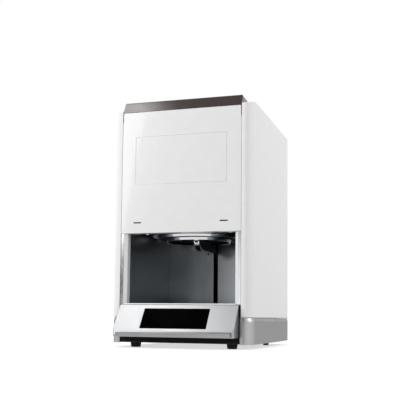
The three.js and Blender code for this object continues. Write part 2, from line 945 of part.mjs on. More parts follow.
// Rear cover: a pan set between the side covers, with vents, fan opening and cut-outs
function rearCover() {
  const reach = cover_out - cover_wall - seat_gap;
  const top = roof_z - cover_wall - seat_gap;
  const y0 = rear_y - rear_wall;
  const shell = cut(
    prismBack(roundedBox(-reach, reach, panel_floor_z, top, cover_wall), y0 - rear_flange, rear_y),
    block(
      rear_wall - reach,
      reach - rear_wall,
      y0 - rear_flange - overrun,
      y0,
      panel_floor_z + rear_wall,
      top - rear_wall,
    ),
  );
  const tools = [barBack(fan_bore_radius, y0 - overrun, rear_y + overrun, round_sides, 0, fan_z)];
  const through = (outline) => tools.push(prismBack(outline, y0 - overrun, rear_y + overrun));
  for (let i = 0; i < rear_vent_count; i += 1) {
    const x = (i - half(rear_vent_count - 1)) * vent_pitch;
    through(slotShape(x + low_vent_shift, panel_floor_z + low_vent_rise, vent_length, vent_width, true));
    through(slotShape(x, top - high_vent_drop, vent_length, vent_width, true));
  }
  const opening = (z, width, height, radius) => {
    const reach_x = half(width) + seat_gap;
    const reach_z = half(height) + seat_gap;
    through(roundedBox(inlet_x - reach_x, inlet_x + reach_x, z - reach_z, z + reach_z, radius));
  };
  opening(inlet_z, inlet_body_width, inlet_body_height, inlet_corner);
  opening(switch_z, switch_width - 2 * switch_wall, switch_height - 2 * switch_wall, 0);
  return cut(shell, ...tools);
}

// Jamb trims: bright angle strips with a rolled edge, one each side of the bay
function jambTrim() {
  const y0 = jamb_setback;
  const y1 = jamb_depth;
  const outline = roundedShape(
    [
      [bay_half, y0],
      [half(fascia_width) - seat_gap, y0],
      [half(fascia_width) - seat_gap, y0 + sheet],
      [bay_half + sheet, y0 + sheet],
      [bay_half + sheet, y1],
      [bay_half, y1],
    ],
    [jamb_radius, 0, 0, jamb_radius - sheet, 0, 0],
  );
  return prismUp(outline, floor_z + seat_gap, fascia_z0 - seat_gap);
}

// Bay lining: two walls, slotted back plate, floor and ceiling
function bayWall() {
  const y0 = jamb_depth + seat_gap;
  const z0 = floor_z - bay_wall_skirt;
  return block(bay_half, bay_half + sheet, y0, bay_depth - seat_gap, z0, ceiling_z0 - seat_gap);
}

function bayBackPlate() {
  const reach = bay_half + sheet;
  const z0 = floor_z - bay_wall_skirt;
  const plate = block(-reach, reach, bay_depth, back_plate_y1, z0, ceiling_z0 - seat_gap);
  const slot_x = half(arm_slot_width);
  const y0 = bay_depth - overrun;
  return cut(plate, block(-slot_x, slot_x, y0, back_plate_y1 + overrun, floor_z + sheet, arm_z1 + run_gap));
}

function bayFloor() {
  const reach = bay_half - seat_gap;
  const y0 = console_back + seat_gap;
  return block(-reach, reach, y0, bay_depth - seat_gap, floor_z - sheet, floor_z);
}

function bayCeiling() {
  const reach = chassis_in - seat_gap;
  const neck = chassis_out - chassis_flange - seat_gap;
  const neck_y = chassis_setback + sheet + seat_gap;
  const outline = roundedShape(
    [
      [-neck, fascia_wall + seat_gap],
      [neck, fascia_wall + seat_gap],
      [neck, neck_y],
      [reach, neck_y],
      [reach, back_plate_y1],
      [-reach, back_plate_y1],
      [-reach, neck_y],
      [-neck, neck_y],
    ],
    [0, 0, 0, 0, 0, 0, 0, 0],
  );
  const bore = post(throat_radius, ceiling_z0 - overrun, ceiling_z1 + overrun, fine_sides, 0, chamber_y);
  return cut(prismUp(outline, ceiling_z0, ceiling_z1), bore);
}

function throatFlange() {
  const z0 = flange_z0;
  const z1 = flange_z0 + flange_height;
  const profile = [
    [throat_radius, z0],
    [flange_radius - flange_edge, z0],
    [flange_radius, z0 + flange_edge],
    [flange_radius, z1],
    [throat_radius, z1],
    [throat_radius, z0],
  ];
  return turned(profile, fine_sides, 0, chamber_y);
}

// Hot box: rolled casing, fibre lining in three rings, and the lid
function chamberCasing() {
  const z0 = casing_z0;
  return ring(casing_radius - sheet, casing_radius, z0, z0 + casing_height, round_sides, 0, chamber_y);
}

function lidInsulation() {
  const body = post(lining_radius, lid_z0, lid_z1, round_sides, 0, chamber_y);
  const bores = elementPlaces().flatMap(({ legs }) => legs.map(([x, y]) => (
    post(shank_radius + seam_gap, lid_z0 - overrun, lid_z1 + overrun, tiny_sides, x, y)
  )));
  const probe = post(probe_radius + seam_gap, lid_z0 - overrun, lid_z1 + overrun, tiny_sides, 0, chamber_y);
  return cut(body, probe, ...bores);
}

// Where each hairpin hangs: its turn about the chamber and the two leg centres
function elementPlaces() {
  const places = [];
  for (let i = 0; i < element_count; i += 1) {
    const turn = (2 * Math.PI * (i + 1 / 2)) / element_count;
    const out = new THREE.Vector2(Math.cos(turn), Math.sin(turn));
    const along = new THREE.Vector2(-out.y, out.x);
    const legs = [-1, 1].map((side) => [
      out.x * element_pitch_radius + side * along.x * half(element_legs),
      chamber_y + out.y * element_pitch_radius + side * along.y * half(element_legs),
    ]);
    places.push({ legs, along });
  }
  return places;
}

// Heating element: a hairpin of thin hot wire below two thicker shanks
function heatingElement({ legs }) {
  const [[x0, y0], [x1, y1]] = legs;
  const low_z = setter_z1 + element_hang;
  const joint_z = lid_z0 - shank_dip;
  const bend = half(element_legs);
  const middle = new THREE.Vector3(half(x0 + x1), half(y0 + y1), low_z + bend);
  const across = new THREE.Vector3(x1 - x0, y1 - y0, 0).normalize();
  const route = [new THREE.Vector3(x0, y0, joint_z + half(shank_dip))];
  for (let i = 0; i <= element_turn_steps; i += 1) {
    const angle = Math.PI * (1 + i / element_turn_steps);
    const point = middle.clone().addScaledVector(across, bend * Math.cos(angle));
    point.z += bend * Math.sin(angle);
    route.push(point);
  }
  route.push(new THREE.Vector3(x1, y1, joint_z + half(shank_dip)));
  const wire = new THREE.Shape().absarc(0, 0, hot_radius, 0, 2 * Math.PI, false);
  const settings = { steps: 2 * element_turn_steps, extrudePath: hairpin(route), curveSegments: arc_steps };
  const hot = toSolid(new THREE.ExtrudeGeometry(wire, settings));
  const top = lid_z1 + shank_stand;
  const shanks = legs.map(([x, y]) => post(shank_radius, joint_z, top, tiny_sides, x, y));
  return join(hot, ...shanks);
}

// One smooth curve through the hairpin's route
function hairpin(route) {
  return new THREE.CatmullRomCurve3(route, false, 'chordal');
}

// Element holder: a ceramic ring on the lid with a bored boss round every shank
function elementHolder() {
  const z0 = lid_z1 + seat_gap;
  const z1 = z0 + holder_height;
  const reach = Math.hypot(element_pitch_radius, half(element_legs));
  const inner = reach - half(holder_boss);
  const outer = reach + half(holder_boss);
  const base = ring(inner, outer, z0, z1, small_sides, 0, chamber_y);
  const places = elementPlaces().flatMap(({ legs }) => legs);
  const boss_z1 = z1 + holder_boss_rise;
  const bosses = places.map(([x, y]) => post(half(holder_boss), z0, boss_z1, tiny_sides, x, y));
  const bores = places.map(([x, y]) => (
    post(shank_radius + seat_gap, z0 - overrun, boss_z1 + overrun, tiny_sides, x, y)
  ));
  return cut(join(base, ...bosses), ...bores);
}

function thermocouple() {
  const z0 = lid_z0 - probe_dip;
  const head_z = lid_z1 + seat_gap;
  const profile = [
    [0, z0],
    [probe_radius, z0],
    [probe_radius, head_z],
    [probe_head_radius, head_z],
    [probe_head_radius, head_z + probe_collar_height],
    [probe_head_radius - probe_radius, head_z + probe_collar_height],
    [probe_head_radius - probe_radius, head_z + probe_head_height],
    [0, head_z + probe_head_height],
  ];
  return turned(profile, small_sides, 0, chamber_y);
}

function addChamber() {
  piece('chamber_casing', zinc_steel, chamberCasing());
  const throat = ring(throat_radius, lining_radius, casing_z0, throat_z1, round_sides, 0, chamber_y);
  piece('throat_insulation', fibre, throat);
  const wall = ring(chamber_radius, lining_radius, chamber_z0, chamber_z1, round_sides, 0, chamber_y);
  piece('wall_insulation', fibre, wall);
  piece('lid_insulation', fibre, lidInsulation());
  elementPlaces().forEach((place, i) => {
    piece(`heating_element_${i + 1}`, disilicide, heatingElement(place));
  });
  piece('element_holder', zirconia, elementHolder());
  piece('thermocouple', zirconia, thermocouple());
}

// Lift: round plate, fibre plug, setter, cantilever arm and its carriage
function liftPlate() {
  const profile = [
    [0, plate_z0],
    [plate_radius - plate_edge, plate_z0],
    [plate_radius, plate_z0 + plate_edge],
    [plate_radius, plate_z1 - plate_edge],
    [plate_radius - plate_edge, plate_z1],
    [0, plate_z1],
  ];
  return turned(profile, fine_sides, 0, chamber_y);
}

function hearthPlug() {
  const profile = [
    [0, plug_z0],
    [plug_foot_radius, plug_z0],
    [plug_foot_radius, plug_step_z - plug_edge],
    [plug_foot_radius - plug_edge, plug_step_z],
    [plug_nose_radius, plug_step_z],
    [plug_nose_radius, plug_z1 - plug_edge],
    [plug_nose_radius - plug_edge, plug_z1],
    [0, plug_z1],
  ];
  return turned(profile, fine_sides, 0, chamber_y);
}

function setterPlate() {
  const profile = [
    [0, setter_z0],
    [setter_radius, setter_z0],
    [setter_radius, setter_z1],
    [setter_radius - setter_rim, setter_z1],
    [setter_radius - setter_rim, setter_z1 - setter_recess],
    [0, setter_z1 - setter_recess],
  ];
  return turned(profile, round_sides, 0, chamber_y);
}

function liftArm() {
  const nose_y = chamber_y - arm_nose_lead;
  const bar_side = roundedShape(
    [
      [nose_y, arm_z1],
      [nose_y, arm_z1 - arm_nose_height],
      [nose_y + arm_nose_length, arm_z0],
      [pad_y0 + half(arm_pad_depth), arm_z0],
      [pad_y0 + half(arm_pad_depth), arm_z1],
    ],
    [0, 0, 0, 0, 0],
  );
  const bar = prismAcross(bar_side, -half(arm_width), half(arm_width));
  const top = prismUp(
    roundedBox(
      -half(arm_flange_width),
      half(arm_flange_width),
      nose_y,
      nose_y + arm_flange_length,
      arm_flange_height,
    ),
    arm_z1 - arm_flange_height,
    arm_z1,
  );
  const pad_z = half(arm_z0 + arm_z1);
  const pad = prismBack(
    roundedBox(
      -half(arm_pad_width),
      half(arm_pad_width),
      pad_z - half(arm_pad_height),
      pad_z + half(arm_pad_height),
      arm_pad_depth,
    ),
    pad_y0,
    carriage_y0 - seat_gap,
  );
  return join(bar, top, pad);
}

function liftCarriage() {
  const body = prismUp(
    roundedBox(-half(carriage_width), half(carriage_width), carriage_y0, carriage_y1, motor_corner),
    carriage_z0,
    carriage_z1,
  );
  const bush_bore = rod_radius + seat_gap + bush_wall + seat_gap;
  const rod_bores = rod_places.map((x) => (
    post(bush_bore, carriage_z0 - overrun, carriage_z1 + overrun, small_sides, x, screw_y)
  ));
  const nut_bore = nut_radius + seat_gap;
  const screw_bore = post(nut_bore, carriage_z0 - overrun, carriage_z1 + overrun, small_sides, 0, screw_y);
  return cut(body, screw_bore, ...rod_bores);
}

// A guide bushing runs right through the carriage, with a rim on its top face
function guideBushing(x) {
  const inner = rod_radius + seat_gap;
  const outer = inner + bush_wall;
  const seat_z = carriage_z1 + seat_gap;
  const profile = [
    [inner, carriage_z0],
    [outer, carriage_z0],
    [outer, seat_z],
    [outer + bush_rim, seat_z],
    [outer + bush_rim, seat_z + bush_rim_height],
    [inner, seat_z + bush_rim_height],
    [inner, carriage_z0],
  ];
  return turned(profile, small_sides, x, screw_y);
}

function leadNut() {
  const bore = screw_radius + seat_gap;
  const flange_z1 = carriage_z0 - seat_gap;
  return turned(
    [
      [bore, flange_z1 - nut_flange_height],
      [nut_flange_radius, flange_z1 - nut_flange_height],
      [nut_flange_radius, flange_z1],
      [nut_radius, flange_z1],
      [nut_radius, flange_z1 + nut_length],
      [bore, flange_z1 + nut_length],
      [bore, flange_z1 - nut_flange_height],
    ],
    small_sides,
    0,
    screw_y,
  );
}

function addLift() {
  piece('lift_plate', bright_steel, liftPlate());
  piece('hearth_plug', fibre, hearthPlug());
  piece('setter_plate', zirconia, setterPlate());
  piece('lift_arm', painted_steel, liftArm());
  piece('lift_carriage', aluminium, liftCarriage());
  piece('bushing_left', brass, guideBushing(rod_places[0]));
  piece('bushing_right', brass, guideBushing(rod_places[1]));
  piece('lead_nut', brass, leadNut());
}

// Lift drive: folded frame with two shelves, rods, screw, coupler and motor
function liftFrame() {
  const reach = half(lift_frame_width);
  const front_y = carriage_y0;
  const back = block(-reach, reach, lift_frame_y0, lift_frame_y1, stand_z, upper_shelf_z1);
  const upper = block(-reach, reach, front_y, lift_frame_y1, upper_shelf_z0, upper_shelf_z1);
  const lower = block(-reach, reach, front_y, lift_frame_y1, shelf_z0, shelf_z1);
  const foot_y1 = lift_frame_y1 + lift_frame_gusset;
  const foot_plate = block(-reach, reach, lift_frame_y0, foot_y1, stand_z, stand_z + lift_frame_sheet);
  const gusset = prismAcross(
    roundedShape(
      [
        [lift_frame_y0, shelf_z0],
        [lift_frame_y0, shelf_z0 - lift_frame_gusset],
        [lift_frame_y0 - lift_frame_gusset, shelf_z0],
      ],
      [0, 0, 0],
    ),
    reach - lift_frame_sheet,
    reach,
  );
  const rod_bores = rod_places.map((x) => (
    post(rod_radius + seat_gap, shelf_z0 - overrun, upper_shelf_z1 + overrun, small_sides, x, screw_y)
  ));
  const shelfBore = (radius, z0, z1) => (
    post(radius + seat_gap, z0 - overrun, z1 + overrun, small_sides, 0, screw_y)
  );
  return cut(
    join(back, upper, lower, foot_plate, gusset, mirrored(gusset)),
    shelfBore(journal_radius, upper_shelf_z0, upper_shelf_z1),
    shelfBore(pilot_radius, shelf_z0, shelf_z1),
    ...rod_bores,
  );
}

function leadScrew() {
  const journal_z = upper_shelf_z0 - seat_gap;
  const shaft_z = coupler_z0 - shaft_length;
  return turned(
    [
      [0, shaft_z],
      [shaft_radius, shaft_z],
      [shaft_radius, coupler_z0],
      [screw_radius, coupler_z0],
      [screw_radius, journal_z],
      [journal_radius, journal_z],
      [journal_radius, upper_shelf_z1],
      [0, upper_shelf_z1],
    ],
    small_sides,
    0,
    screw_y,
  );
}

function shaftCoupler() {
  const bore = screw_radius + seat_gap;
  const body = ring(bore, coupler_radius, coupler_z0, coupler_z1, small_sides, 0, screw_y);
  const slit = block(
    0,
    coupler_radius + overrun,
    screw_y - half(coupler_slit),
    screw_y + half(coupler_slit),
    coupler_z0 + coupler_height * coupler_slit_share,
    coupler_z1 + overrun,
  );
  return cut(body, slit);
}

function liftMotor() {
  const reach = half(motor_width);
  const waist = reach - motor_waist;
  const y0 = screw_y - reach;
  const y1 = screw_y + reach;
  const cap = (z0, z1) => prismUp(roundedBox(-reach, reach, y0, y1, motor_corner), z0, z1);
  const stack = prismUp(
    roundedBox(-waist, waist, screw_y - waist, screw_y + waist, motor_corner),
    motor_z0,
    motor_z1,
  );
  const pilot = post(pilot_radius, motor_z1, motor_z1 + pilot_height, small_sides, 0, screw_y);
  const well_z = motor_z1 - shaft_length;
  const well = post(shaft_radius + seat_gap, well_z, motor_z1 + overrun, small_sides, 0, screw_y);
  const body = join(
    stack,
    cap(motor_z0, motor_z0 + motor_cap_height),
    cap(motor_z1 - motor_cap_height, motor_z1),
    pilot,
  );
  return cut(body, well);
}

function addLiftDrive() {
  piece('lift_frame', painted_steel, liftFrame());
  const rods = [['guide_rod_left', rod_places[0]], ['guide_rod_right', rod_places[1]]];
  for (const [name, x] of rods) {
    piece(name, bright_steel, post(rod_radius, shelf_z0, upper_shelf_z1, small_sides, x, screw_y));
  }
  piece('lead_screw', bright_steel, leadScrew());
  piece('shaft_coupler', aluminium, shaftCoupler());
  piece('lift_motor', black_plastic, liftMotor());
}

// Toroidal transformer with its clamping dish and bolt
function powerTransformer() {
  const z0 = stand_z;
  const z1 = z0 + coil_height;
  const coil_radius = half(side_room) - coil_clearance;
  return turned(
    [
      [0, z0],
      [coil_radius - coil_edge, z0],
      [coil_radius, z0 + coil_edge],
      [coil_radius, z1 - coil_edge],
      [coil_radius - coil_edge, z1],
      [coil_radius * dish_share, z1],
      [coil_radius * dish_share, z1 + dish_height],
      [bolt_head_radius, z1 + dish_height],
      [bolt_head_radius, z1 + dish_height + bolt_head_height],
      [bolt_radius, z1 + dish_height + bolt_head_height],
      [bolt_radius, z1 + dish_height + 2 * bolt_head_height],
      [0, z1 + dish_height + 2 * bolt_head_height],
    ],
    round_sides,
    electrics_x,
    rear_y - coil_margin,
  );
}

// Power regulator: a finned sink with the switching module on top
function powerRegulator() {
  const x0 = regulator_clearance - chassis_in;
  const x1 = x0 + side_room - 2 * regulator_clearance;
  const y0 = rear_y - regulator_margin;
  const y1 = y0 + regulator_length;
  const fin_z1 = stand_z + fin_height;
  const plate_top = fin_z1 + regulator_plate;
  const plate = block(x0, x1, y0, y1, fin_z1, plate_top);
  const pitch = (x1 - x0 - fin_thickness) / (fin_count - 1);
  const fins = [];
  for (let i = 0; i < fin_count; i += 1) {
    const x = x0 + i * pitch;
    fins.push(block(x, x + fin_thickness, y0, y1, stand_z, plate_top));
  }
  const middle_y = half(y0 + y1);
  const across = [-electrics_x - half(module_width), half(module_width) - electrics_x];
  const module_y = [middle_y - half(module_length), middle_y + half(module_length)];
  const module_z = plate_top + module_height;
  const module = block(...across, ...module_y, plate_top, module_z - terminal_height);
  const saddle_y = [module_y[0] + terminal_width, module_y[1] - terminal_width];
  const saddle = block(...across, ...saddle_y, plate_top, module_z);
  return join(plate, ...fins, module, saddle);
}

// Control board on posts, with its relays, capacitors and plugs
function controlBoard() {
  const x0 = board_stand - chassis_in;
  const face = x0 + board_sheet;
  const y0 = rear_y - board_margin;
  const y1 = y0 + board_length;
  const z0 = floor_z + board_rise;
  const z1 = z0 + board_height;
  const sheet_body = block(x0, face, y0, y1, z0, z1);
  const places = [
    [y0 + board_post_inset, z0 + board_post_inset],
    [y1 - board_post_inset, z0 + board_post_inset],
    [y0 + board_post_inset, z1 - board_post_inset],
    [y1 - board_post_inset, z1 - board_post_inset],
  ];
  const upright = new THREE.Matrix4().makeRotationY(Math.PI / 2);
  const standing = (radius, from, to, y, z) => {
    const bar = post(radius, from, to, tiny_sides, 0, 0);
    return moved(bar, upright.clone().setPosition(0, y, z));
  };
  const posts = places.map(([y, z]) => standing(board_post_radius, seat_gap - chassis_in, face, y, z));
  const parts = board_part_shares.map(([y_share, z_share, wide_share, tall_share, high_share]) => {
    const y = y0 + y_share * board_length;
    const z = z0 + z_share * board_height;
    const wide = half(wide_share * board_length);
    const tall = half(tall_share * board_height);
    return block(x0, face + high_share * board_length, y - wide, y + wide, z - tall, z + tall);
  });
  const cans = board_can_shares.map(([y_share, z_share, radius_share, high_share]) => standing(
    radius_share * board_length,
    x0,
    face + high_share * board_length,
    y0 + y_share * board_length,
    z0 + z_share * board_height,
  ));
  return join(sheet_body, ...posts, ...parts, ...cans);
}

// Cooling fan: square frame with a round duct and struts, bladed rotor, wire guard
function fanFrame() {
  const reach = half(fan_size);
  const square = roundedBox(-reach, reach, fan_z - reach, fan_z + reach, fan_corner);
  const duct = barBack(fan_bore_radius, fan_y0 - overrun, fan_y1 + overrun, round_sides, 0, fan_z);
  const frame = cut(prismBack(square, fan_y0, fan_y1), duct);
  const boss = barBack(fan_boss_radius, fan_y0, fan_y0 + fan_boss_depth, small_sides, 0, fan_z);
  const struts = [];
  for (let i = 0; i < fan_strut_count; i += 1) {
    const strut = block(
      0,
      fan_bore_radius + half(fan_corner),
      fan_y0,
      fan_y0 + fan_boss_depth,
      -half(fan_strut_width),
      half(fan_strut_width),
    );
    const turn = new THREE.Matrix4().makeRotationY((2 * Math.PI * (i + 1 / 2)) / fan_strut_count);
    struts.push(moved(strut, turn.setPosition(0, 0, fan_z)));
  }
  return join(frame, boss, ...struts);
}

// One fan blade, lofted from root to tip with its pitch easing off
function fanBlade() {
  const root = fan_hub_radius - blade_thickness;
  const tip = fan_bore_radius - run_gap;
  const tip_lean = tip * Math.tan(blade_sweep);
  const tip_reach = tip_lean + half(blade_tip_chord * Math.cos(blade_tip_pitch) + blade_thickness);
  const tip_height = Math.sqrt(tip * tip - tip_reach * tip_reach);
  const rings = [];
  const heights = [];
  for (let i = 0; i <= blade_steps; i += 1) {
    const along_share = i / blade_steps;
    const chord = THREE.MathUtils.lerp(blade_root_chord, blade_tip_chord, along_share);
    const pitch = THREE.MathUtils.lerp(blade_root_pitch, blade_tip_pitch, along_share);
    const height = THREE.MathUtils.lerp(root, tip_height, along_share);
    const lean = tip_lean * along_share * along_share;
    const way = new THREE.Vector2(Math.cos(pitch), Math.sin(pitch));
    const corners = [[-1, -1], [1, -1], [1, 1], [-1, 1]].map(([c, t]) => new THREE.Vector2(
      lean + half(c * chord * way.x - t * blade_thickness * way.y),
      half(c * chord * way.y + t * blade_thickness * way.x),
    ));
    rings.push(corners);
    heights.push(height);
  }
  return lofted(rings, heights);
}

function fanRotor() {
  const hub_y0 = fan_y0 + fan_boss_depth + seam_gap;
  const hub_y1 = fan_y1 - run_gap;
  const middle_y = half(hub_y0 + hub_y1);
  const hub = barBack(fan_hub_radius, hub_y0, hub_y1, round_sides, 0, 0);
  const blades = [];
  for (let i = 0; i < blade_count; i += 1) {
    const turn = new THREE.Matrix4().makeRotationY((2 * Math.PI * i) / blade_count);
    blades.push(moved(shifted(fanBlade(), 0, middle_y, 0), turn));
  }
  return shifted(join(hub, ...blades), 0, 0, fan_z);
}

function fanGuard() {
  const y = rear_y + seat_gap + guard_wire;
  const rings = [];
  for (let i = 0; i < guard_ring_count; i += 1) {
    const reach_share = (guard_ring_count - i) / guard_ring_count;
    const radius = fan_bore_radius * reach_share + (1 - reach_share) * guard_plate_radius;
    const torus = new THREE.TorusGeometry(radius, guard_wire, wire_sides, round_sides);
    rings.push(toSolid(torus.rotateX(Math.PI / 2).translate(0, y + guard_wire, fan_z)));
  }
  const hub = barBack(guard_plate_radius, y, y + guard_wire, small_sides, 0, fan_z);
  const spokes = [];
  const eye_radius = Math.SQRT2 * (half(fan_size) - fan_corner);
  for (let i = 0; i < guard_spoke_count; i += 1) {
    const wire = half(guard_wire);
    const spoke = block(0, eye_radius, y - wire, y + guard_wire, -wire, wire);
    const eye = barBack(guard_eye_radius, y - guard_wire, y, tiny_sides, eye_radius, 0);
    const turn = new THREE.Matrix4().makeRotationY((2 * Math.PI * (i + 1 / 2)) / guard_spoke_count);
    spokes.push(moved(join(spoke, eye), turn.setPosition(0, 0, fan_z)));
  }
  return join(hub, ...rings, ...spokes);
}

function addFan() {
  piece('fan_frame', black_plastic, fanFrame());
  piece('fan_rotor', black_plastic, fanRotor());
  piece('fan_guard', bright_steel, fanGuard());
}

// Mains inlet: flanged socket with three blades in its recess
function mainsInlet() {
  const x = inlet_x;
  const z = inlet_z;
  const y0 = outlet_y;
  const box = (width, height, radius) => (
    roundedBox(x - half(width), x + half(width), z - half(height), z + half(height), radius)
  );
  const flange = prismBack(box(inlet_width, inlet_height, inlet_corner), y0, y0 + inlet_flange);
  const body_outline = box(inlet_body_width, inlet_body_height, inlet_corner);
  const body = prismBack(body_outline, y0 - inlet_depth, y0 + half(inlet_flange));
  const mouth = y0 + inlet_flange;
  const recess = prismBack(
    box(inlet_recess_width, inlet_recess_height, inlet_corner),
    mouth - inlet_recess_depth,
    mouth + overrun,
  );
  const pins = [[-1, 1], [0, -1], [1, 1]].map(([across, up]) => block(
    x + half(across * pin_pitch) - half(pin_width),
    x + half(across * pin_pitch) + half(pin_width),
    mouth - inlet_recess_depth - half(pin_length),
    mouth - inlet_recess_depth + pin_length,
    z + up * pin_drop - half(pin_height),
    z + up * pin_drop + half(pin_height),
  ));
  return join(cut(join(flange, body), recess), ...pins);
}

// Power switch: bezel with a well, and a rocker that tips about its middle
function switchBezel() {
  const box = (inset) => roundedBox(
    inlet_x - half(switch_width) + inset,
    inlet_x + half(switch_width) - inset,
    switch_z - half(switch_height) + inset,
    switch_z + half(switch_height) - inset,
    half(inlet_corner),
  );
  const flange = prismBack(box(0), outlet_y, outlet_y + switch_flange);
  const body = prismBack(box(switch_wall), outlet_y - switch_depth, outlet_y + half(switch_flange));
  const well_y0 = outlet_y - switch_depth + switch_wall;
  const well = prismBack(box(2 * switch_wall), well_y0, outlet_y + switch_flange + overrun);
  return cut(join(flange, body), well);
}

function powerRocker() {
  const reach_x = half(switch_width) - 2 * switch_wall - seam_gap;
  const reach_z = half(switch_height) - 2 * switch_wall - run_gap;
  const face = outlet_y + switch_flange;
  const outline = roundedShape(
    [
      [rocker_pivot_y - 2 * rocker_crown, -reach_z],
      [face, -reach_z],
      [face - half(rocker_crown), 0],
      [face, reach_z],
      [rocker_pivot_y - 2 * rocker_crown, reach_z],
    ],
    [0, half(seam_gap), rocker_crown, half(seam_gap), 0],
  );
  const body = prismAcross(outline, inlet_x - reach_x, inlet_x + reach_x);
  const level = shifted(body, 0, -rocker_pivot_y, 0);
  const tipped = moved(level, new THREE.Matrix4().makeRotationX(rocker_tilt));
  return shifted(tipped, 0, rocker_pivot_y, switch_z);
}

// Console: a sloped housing with a lip, open at the back, and its touch screen
const slope_frame = new THREE.Matrix4().makeBasis(
  new THREE.Vector3(1, 0, 0),
  new THREE.Vector3(0, -Math.cos(slope_angle), -Math.sin(slope_angle)),
  new THREE.Vector3(0, Math.sin(slope_angle), -Math.cos(slope_angle)),
).setPosition(0, -console_ledge, floor_z);

// A block in the slope's own frame: across, down the slope, and out from its face
function slopeBlock(width, down0, down1, out0, out1) {
  const box = new THREE.BoxGeometry(width, down1 - down0, out1 - out0);
  return toSolid(box.translate(0, half(down0 + down1), -half(out0 + out1)).applyMatrix4(slope_frame));
}

function consoleSide() {
  return [
    [console_back, lip_top - lip_height],
    [console_back, floor_z],
    [-console_ledge, floor_z],
    [-console_reach, lip_top],
    [-console_reach, lip_top - lip_height],
  ];
}

function consoleHousing() {
  const reach = console_half;
  const edge = console_edge_radius;
  const outer_side = roundedShape(consoleSide(), [0, 0, edge, edge, half(edge)]);
  const plan = (inset, back_y) => roundedShape(
    [
      [inset - reach, inset - console_reach],
      [reach - inset, inset - console_reach],
      [reach - inset, back_y],
      [inset - reach, back_y],
    ],
    [console_corner_radius - inset, console_corner_radius - inset, 0, 0],
  );
  const outer = prismAcross(outer_side, -reach, reach).intersect(
    prismUp(plan(0, console_back), 0, floor_z + overrun),
  );
  const [low_back, high_back, ...faces] = drawnIn(consoleSide(), cover_wall);
  const open_y = console_back + overrun;
  const inner_corners = [[open_y, low_back[1]], [open_y, high_back[1]], ...faces];
  const inner = prismAcross(roundedShape(inner_corners, [0, 0, 0, 0, 0]), -reach, reach).intersect(
    prismUp(plan(cover_wall, console_back + 2 * overrun), 0, floor_z + overrun),
  );
  const window = slopeBlock(
    screen_width + 2 * seat_gap,
    screen_down0 - seat_gap,
    screen_down1 + seat_gap,
    -cover_wall - overrun,
    overrun,
  );
  return cut(outer, inner, window);
}

function addConsole() {
  piece('console_housing', silver_plastic, consoleHousing());
  const glass_back = screen_stand - screen_thickness;
  const glass = slopeBlock(screen_width, screen_down0, screen_down1, glass_back, screen_stand);
  piece('screen_glass', black_glass, glass);
  const behind = -Math.max(cover_wall, screen_thickness - screen_stand) - seat_gap;
  const display = slopeBlock(
    screen_width + 2 * display_border,
    screen_down0 - display_border,
    screen_down1 + display_border,
    behind - console_reach * display_depth_share,
    behind,
  );
  piece('display_module', painted_steel, display);
}

// Assembly
function addBody() {
  piece('base_pan', zinc_steel, basePan());
  piece('base_skirt', base_grey, baseSkirt());
  const side = chassisSide();
  piece('chassis_side_right', zinc_steel, side);
  piece('chassis_side_left', zinc_steel, mirrored(side));
  piece('kick_panel', black_plastic, kickPanel());
  const cover = sideCover();
  piece('side_cover_right', white_cover, cover);
  piece('side_cover_left', white_cover, mirrored(cover));
  piece('front_fascia', pale_panel, frontFascia());
  piece('top_cap', brown_gloss, topCap());
  piece('roof_cover', white_cover, roofCover());
  piece('rear_cover', white_cover, rearCover());
}

function addBay() {
  const trim = jambTrim();
  piece('jamb_trim_right', bright_steel, trim);
  piece('jamb_trim_left', bright_steel, mirrored(trim));
  const wall = bayWall();
  piece('bay_wall_right', bay_steel, wall);
  piece('bay_wall_left', bay_steel, mirrored(wall));
  piece('bay_back_plate', bay_steel, bayBackPlate());
  piece('bay_floor', bay_steel, bayFloor());
  piece('bay_ceiling', painted_steel, bayCeiling());
  piece('throat_flange', bright_steel, throatFlange());
}

function addElectrics() {
  piece('power_transformer', copper_tape, powerTransformer());
  piece('power_regulator', aluminium, powerRegulator());
  piece('control_board', board_green, controlBoard());
  piece('mains_inlet', black_plastic, mainsInlet());
  piece('switch_bezel', black_plastic, switchBezel());
  piece('power_rocker', black_plastic, powerRocker());
}

addFeet();
addBody();
addBay();
addChamber();
addLift();
addLiftDrive();
addElectrics();
addFan();
addConsole();

// The origin lies on the floor, midway between the console's lip and the fan guard
furnace.position.y = -half(rear_y + guard_reach - console_reach);

export default furnace;
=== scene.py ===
"""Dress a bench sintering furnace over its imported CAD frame.

Lengths are metres, the front faces -Y, +X is the viewer's right and +Z is up.
"""

import json
import math

import bmesh
import bpy
from bpy.props import FloatProperty, FloatVectorProperty, IntProperty, PointerProperty
from mathutils import Matrix, Vector


